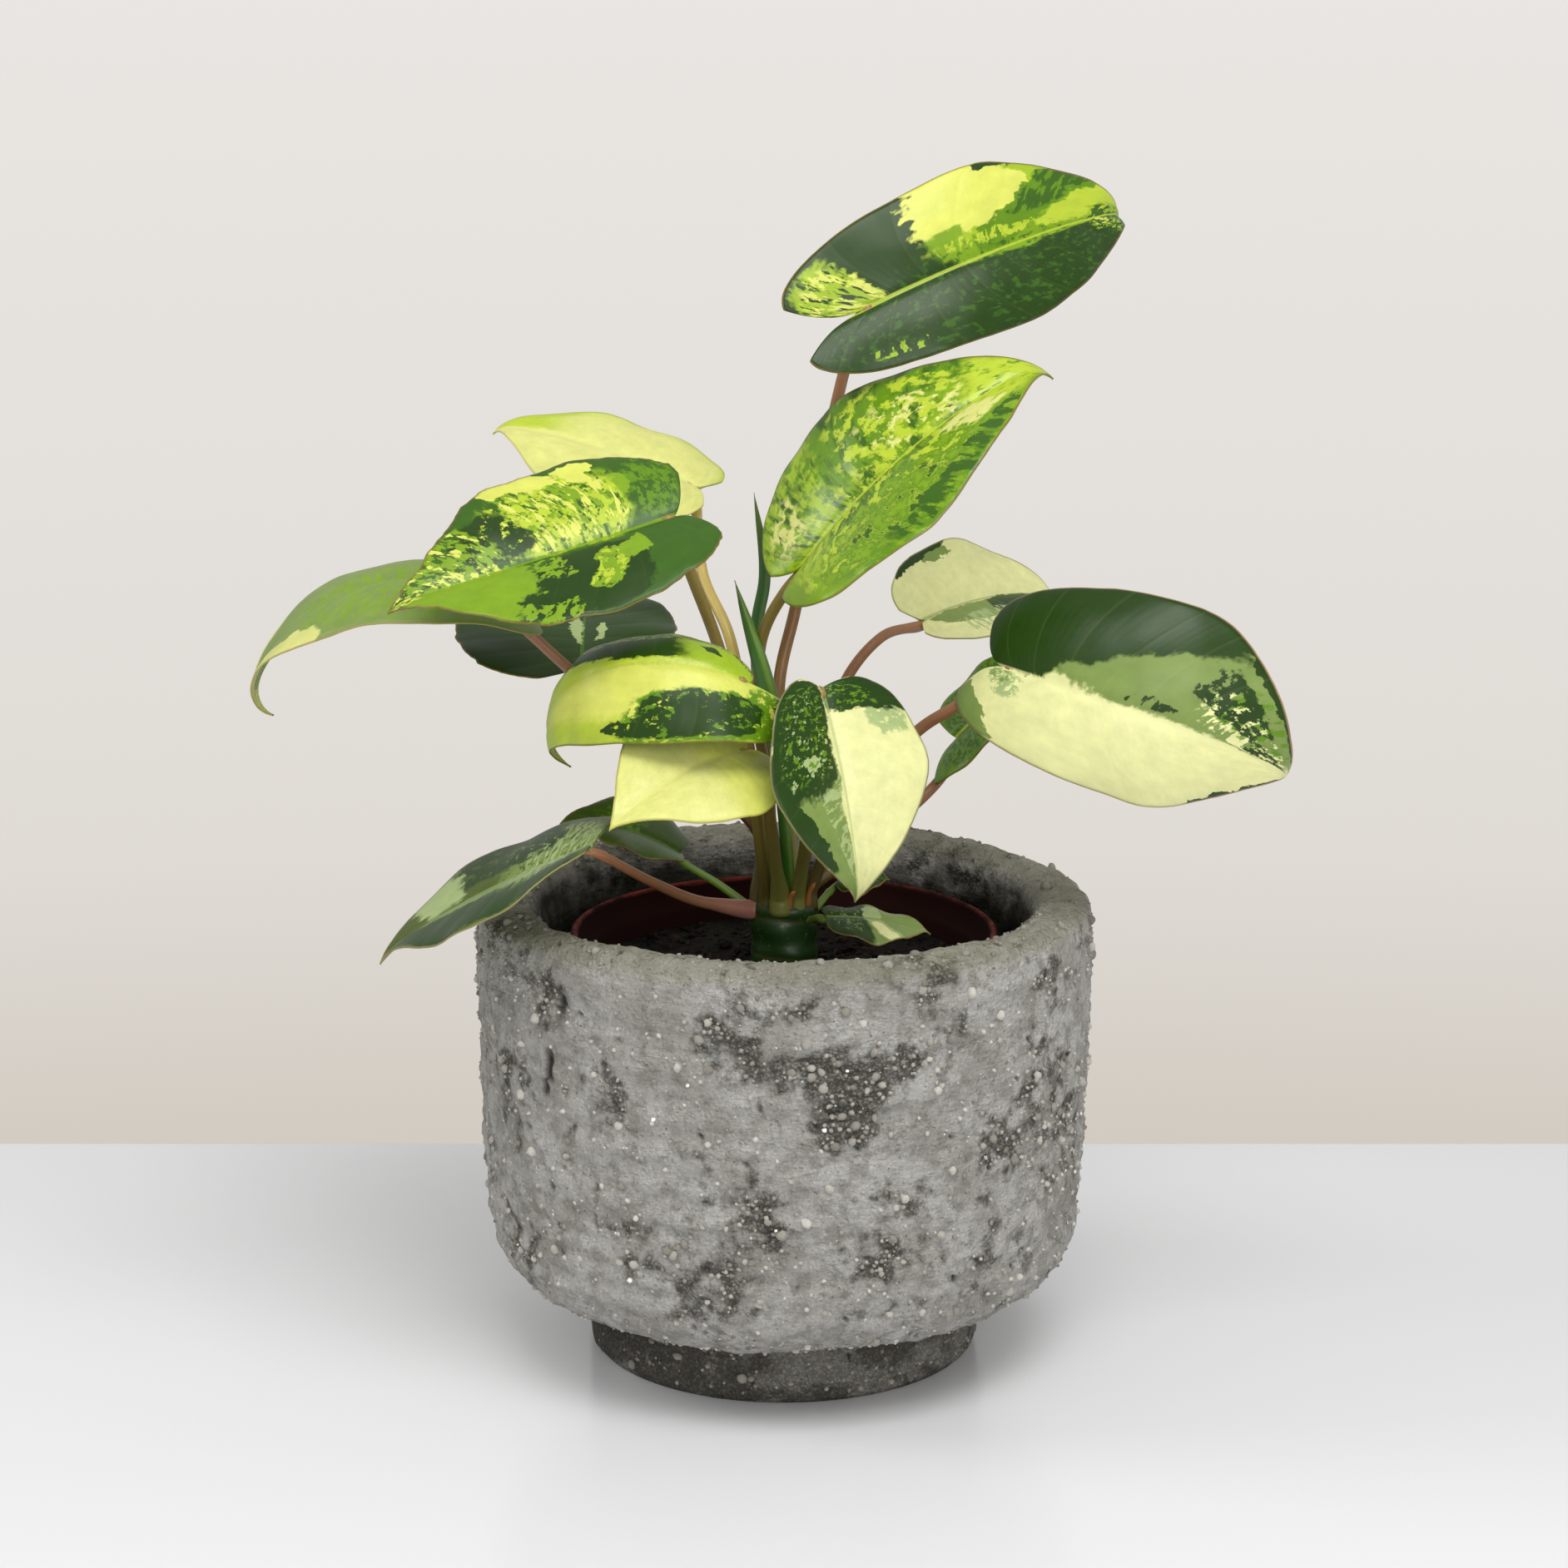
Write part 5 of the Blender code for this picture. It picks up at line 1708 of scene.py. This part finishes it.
         "outer", 262, TOP, ((-3, -22, 150), (-6, -37, 180)), 1.8, 1.4,
         "leaf_lime", LeafFinish(T.LIME, (
             Patch(T.DARK, 0.47, -0.56, 0.22, 0.46, -0.25),
             Patch(T.SAGE, 0.42, -0.75, 0.20, 0.22, -0.25, G.FLECKED, 0.5, 0.1, 0.03),
             Patch(T.OLIVE, 0.16, -0.50, 0.20, 0.55, 0.0, G.FLECKED, 0.6, 0.1, 0.05),
             Patch(T.LEAFY, 0.16, -0.30, 0.18, 0.35, 0.0, G.WHOLE, 0.5, 0.3),
             Patch(T.DARK, 0.26, -0.42, 0.03, 0.10),
             Patch(T.GRASS, 0.44, 0.02, 0.20, 0.06, 0.0, G.STREAKED, 0.55, 0.2, 0.04),
             Patch(T.YELLOW, 0.42, 0.34, 0.28, 0.30, 0.0, G.WHOLE, 0.5, 0.5),
             Patch(T.MID, 0.14, 0.62, 0.17, 0.34, 0.0, G.FLECKED, 0.55, 0.1, 0.03),
             Patch(T.MID, 0.32, 0.66, 0.17, 0.34, 0.10, G.FLECKED, 0.70, 0.1, 0.03),
             Patch(T.DARK, 0.32, 0.64, 0.13, 0.30, 0.10, G.FLECKED, 0.66),
             Patch(T.DARK, 0.33, 0.62, 0.04, 0.18, 0.05, G.FLECKED, 0.95),
             Patch(T.DARK, 0.47, 0.84, 0.06, 0.09, 0.0, G.FLECKED, 0.8),
             Patch(T.DARK, 0.06, 0.74, 0.06, 0.20, 0.0, G.FLECKED, 0.45),
         ), rib=T.LIME, rib_share=0.4, seed=7.0, gloss=0.36, pucker=0.4), OLIVE_STALK, sheath=3.3, sheath_share=0.2, skew=9),
    Leaf(8, (-10, -43, 181), 231, 2, -28, 51, 21, 22, 5, 0.32, 0.40, 40, 21, 0, 3, 8, 30, 12, 28, 7,
         "outer", 226, TOP, ((-6.5, -16.5, 147), (-8.5, -31, 168)), 1.8, 1.3,
         "leaf_lime", LeafFinish(T.BUTTER, (
             Patch(T.LIME, 0.06, 0.6, 0.20, 0.8, 0.0, G.WHOLE, 0.5, 0.6),
             Patch(T.YELLOW, 0.18, 0.2, 0.20, 0.9, 0.0, G.WHOLE, 0.5, 0.7),
         ), rib=T.YELLOW, rib_share=0.2, seed=8.0, gloss=0.36, edge=srgb(166, 160, 70)),
         DIM_STALK, sheath=2.0, sheath_share=0.2),
    Leaf(9, (10, -43, 197), -56, -62, 0, 59, 27, 25, 2, 0.36, 0.30, 30, 28, 17, 7, 12, 29, 27, 25, 12,
         "outer", 300, TOP, ((6, -18, 150), (7.5, -31, 180), (8, -38, 193)), 1.8, 1.4,
         "leaf_cream_green", LeafFinish(T.CREAM, (
             Patch(T.GREY, 0.30, 0.66, 0.07, 0.26, 0.05, G.FLECKED, 0.75, 0.2, 0.04),
             Patch(T.DARK, 0.13, 0.55, 0.14, 0.60, 0.05),
             Patch(T.MID, 0.14, 0.40, 0.10, 0.30, 0.0, G.FLECKED, 0.35, 0.1, 0.04),
             Patch(T.SAGE, 0.60, -0.56, 0.40, 0.46),
             Patch(T.GREY, 0.62, -0.30, 0.30, 0.20, 0.0, G.STREAKED, 0.5),
             Patch(T.DARK, 0.30, -0.55, 0.27, 0.46, 0.05),
             Patch(T.DARK, 0.62, -0.92, 0.18, 0.12, 0.0),
             Patch(T.GREY, 0.46, -0.45, 0.03, 0.12),
             Patch(T.GREY, 0.34, -0.50, 0.20, 0.34, 0.0, G.FLECKED, 0.22),
             Patch(T.MID, 0.30, -0.50, 0.22, 0.36, 0.0, G.FLECKED, 0.32, 0.1, 0.04),
         ), rib=T.GREY, rib_share=0.5, seed=9.0, gloss=0.3, edge=srgb(140, 134, 86)), OLIVE_STALK, sheath=2.3,
         sheath_share=0.25),
    Leaf(10, (58.8, -27, 200), -38, -8, 64, 95, 33.5, 25, 12, 0.49, 0.40, 82, 36, 34, 5, 0, 42, 10, 36, 26,
         "outer", 342, TOP, ((18, -9, 158), (37, -14, 180), (47, -20, 188)), 1.8, 1.6,
         "leaf_cream_green", LeafFinish(T.CREAM, (
             Patch(T.SAGE, 0.55, 0.53, 0.40, 0.50),
             Patch(T.DARK, 0.17, 0.55, 0.33, 0.56, 0.38),
             Patch(T.DARK, 0.80, 1.0, 0.24, 0.075),
             Patch(T.DARK, 0.80, -1.0, 0.22, 0.06),
             Patch(T.CREAM, 0.80, 0.40, 0.14, 0.30, 0.0, G.STREAKED, 0.55),
             Patch(T.MID, 0.80, 0.60, 0.12, 0.30, 0.0, G.STREAKED, 0.45, 0.1, 0.03),
             Patch(T.DARK, 0.70, 0.58, 0.10, 0.22, 0.0, G.FLECKED, 0.62),
             Patch(T.DARK, 0.88, 0.30, 0.09, 0.16, 0.0, G.FLECKED, 0.55),
             Patch(T.DARK, 0.57, 0.12, 0.06, 0.05, 0.3, G.STREAKED, 0.6),
             Patch(T.SAGE, 0.09, -0.85, 0.08, 0.20),
             Patch(T.GREY, 0.12, -0.24, 0.10, 0.16, 0.0, G.FLECKED, 0.6, 0.2, 0.03),
             Patch(T.SAGE, 0.08, -0.22, 0.06, 0.12, 0.0, G.FLECKED, 0.5, 0.2),
         ), rib=T.CREAM, rib_share=0.5, seed=10.0, gloss=0.36, edge=srgb(186, 150, 112)), PINK_STALK),
    Leaf(11, (41, 46, 200), 38, 14, 27, 63, 22, 21, 5, 0.34, 0.28, 36, 19, 7, 0, 23, 14, 21, 24, 15,
         "outer", 54, TOP, ((10, 9, 160), (17, 20, 186), (28, 31, 197.5)), 1.8, 1.4,
         "leaf_lime", LeafFinish(T.CREAM, (
             Patch(T.DARK, 0.30, 1.0, 0.13, 0.14),
             Patch(T.SAGE, 0.40, 0.86, 0.05, 0.08),
             Patch(T.SAGE, 0.52, -0.30, 0.36, 0.26, -0.2),
             Patch(T.DARK, 0.66, -0.22, 0.18, 0.22, 0.2),
             Patch(T.SAGE, 0.20, -0.20, 0.12, 0.16),
             Patch(T.GREY, 0.42, -0.62, 0.16, 0.26, 0.0, G.STREAKED, 0.5, 0.1, 0.04),
         ), rib=T.SAGE, rib_share=0.5, seed=11.0, gloss=0.42, edge=srgb(160, 150, 96)), PINK_STALK),
    Leaf(12, (49, 23, 170), -8, 47, 29, 44, 17, 16, 7, 0.30, 0.60, 13, 20, 2, 0, 15, 25, 17, 27, 6,
         "outer", 18, TOP, ((20, 6, 140), (44.5, 21.5, 158)), 1.8, 1.4,
         "leaf_mid_green", LeafFinish(T.MID, (
             Patch(T.DEEP, 0.50, 0.0, 0.40, 0.9, 0.0, G.FLECKED, 0.5, 0.1, 0.05),
         ), rib=T.LIME, seed=12.0), PINK_STALK, skew=-5),
    Leaf(13, (-52, -50, 156), 160, -23, -9, 75, 27, 26, 4, 0.34, 0.40, 15, 18, -17, 0, 15, 29, 14, 26, 8,
         "side", 195, 127, ((-17, -12, 129.5), (-25.5, -20, 133.5), (-36.5, -31, 141.5)), 1.9, 1.2,
         "leaf_dark_green", LeafFinish(T.OLIVE, (
             Patch(T.DARK, 0.50, 0.70, 0.42, 0.28),
             Patch(T.SAGE, 0.55, 0.22, 0.26, 0.18, -0.15, G.WHOLE, 0.5, 0.3),
             Patch(T.SAGE, 0.24, -0.12, 0.24, 0.60, 0.0, G.FLECKED, 0.62, 0.3, 0.03),
             Patch(T.GREY, 0.20, -0.10, 0.20, 0.55, 0.0, G.STREAKED, 0.48, 0.3, 0.03),
             Patch(T.DARK, 0.50, -0.60, 0.18, 0.38, 0.0, G.FLECKED, 0.7, 0.1, 0.03),
             Patch(T.GREY, 0.74, -0.52, 0.07, 0.42, 0.0, G.WHOLE, 0.5, 0.2),
             Patch(T.DRY, 0.985, 0.0, 0.02, 1.2),
         ), rib=T.GREY, rib_share=0.5, seed=13.0, gloss=0.36, edge=srgb(150, 140, 92)), MAUVE_STALK, sheath=2.9,
         sheath_share=0.3),
    Leaf(14, (-30, 4, 141), 180, 32, -9, 35, 16, 17, 2, 0.34, 0.41, 33, 27, -12, 4, 18, 23, 17, 31, 6,
         "side", 160, 126, ((-18, 1, 132),), 1.3, 1.0,
         "leaf_dark_green", LeafFinish(T.OLIVE, (
             Patch(T.DEEP, 0.4, 0.0, 0.5, 1.0, 0.0, G.FLECKED, 0.5, 0.1, 0.05),
             Patch(T.MID, 0.62, -0.3, 0.14, 0.4, 0.0, G.FLECKED, 0.5, 0.1, 0.05),
         ), rib=T.MID, rib_share=0.5, seed=14.0), GREEN_STALK, sheath=1.7),
    Leaf(15, (12, -21, 129), 10, -2, 14, 31, 9, 12, 1, 0.36, 0.42, 21, 22, 8, 2, 7, 36, 10, 27, 4,
         "side", 320, SIDE, ((9.6, -15.5, 127),), 1.3, 1.0,
         "leaf_cream_green", LeafFinish(T.SAGE, (
             Patch(T.DARK, 0.24, 0.0, 0.24, 1.1),
             Patch(T.SAGE, 0.30, 0.0, 0.14, 0.7, 0.0, G.FLECKED, 0.3),
             Patch(T.GREY, 0.56, -0.2, 0.07, 0.95, -0.04),
             Patch(T.CREAM, 0.57, -0.6, 0.05, 0.40, -0.04),
         ), rib=T.SAGE, ragged=0.5, seed=15.0), GREEN_STALK, sheath=1.7),
    Leaf(16, (15.5, 8, 132), 4, 8, 25, 15, 7, 7, 1, 0.40, 0.42, 20, 15, 0, 0, 12, 28, 12, 28, 4,
         "side", 30, SIDE, ((12, 5.5, 128),), 1.2, 0.9,
         "leaf_dark_green", LeafFinish(T.DARK, (
             Patch(T.DEEP, 0.5, 0.0, 0.4, 0.8, 0.0, G.FLECKED, 0.5),
         ), rib=T.DEEP, seed=16.0), GREEN_STALK, sheath=1.6),
)

NEW_LEAVES = (
    NewLeaf("new_leaf_1", ((0.5, -0.6, TOP + 0.3), (-3.5, 4, 150), (-7.6, 8, 203), (-5.3, 9, 219), (-8.3, 9, 242)),
            1.75, 0.72, 1.5, NewLeafFinish(green=srgb(52, 92, 40), pale=srgb(90, 130, 60))),
    NewLeaf("new_leaf_2", ((1.6, -7.1, TOP + 0.3), (-0.5, -9, 160), (-4, -11, 188), (-13.4, -12, 221)), 2.5, 0.62),
)

AERIAL_ROOTS = (
    AerialRoot("aerial_root_1", ((6.4, -9.2, TOP + 0.3), (7.0, -10.0, 133), (8.6, -11.6, 136))),
    AerialRoot("aerial_root_2", ((1.5, -12.0, TOP), (1.7, -12.8, 132), (3.0, -14.6, 134.5))),
)


def main() -> None:
    """Load the frame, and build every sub-assembly in order."""
    logging.basicConfig(level=logging.INFO, format="%(message)s")
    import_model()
    OuterPot().build()
    NurseryPot().build()
    Compost().build()
    MainStem().build()
    for leaf in LEAVES:
        leaf.build()
    for new_leaf in NEW_LEAVES:
        new_leaf.build()
    for root in AERIAL_ROOTS:
        root.build()
    Studio().build()


if __name__ == "__main__":
    main()
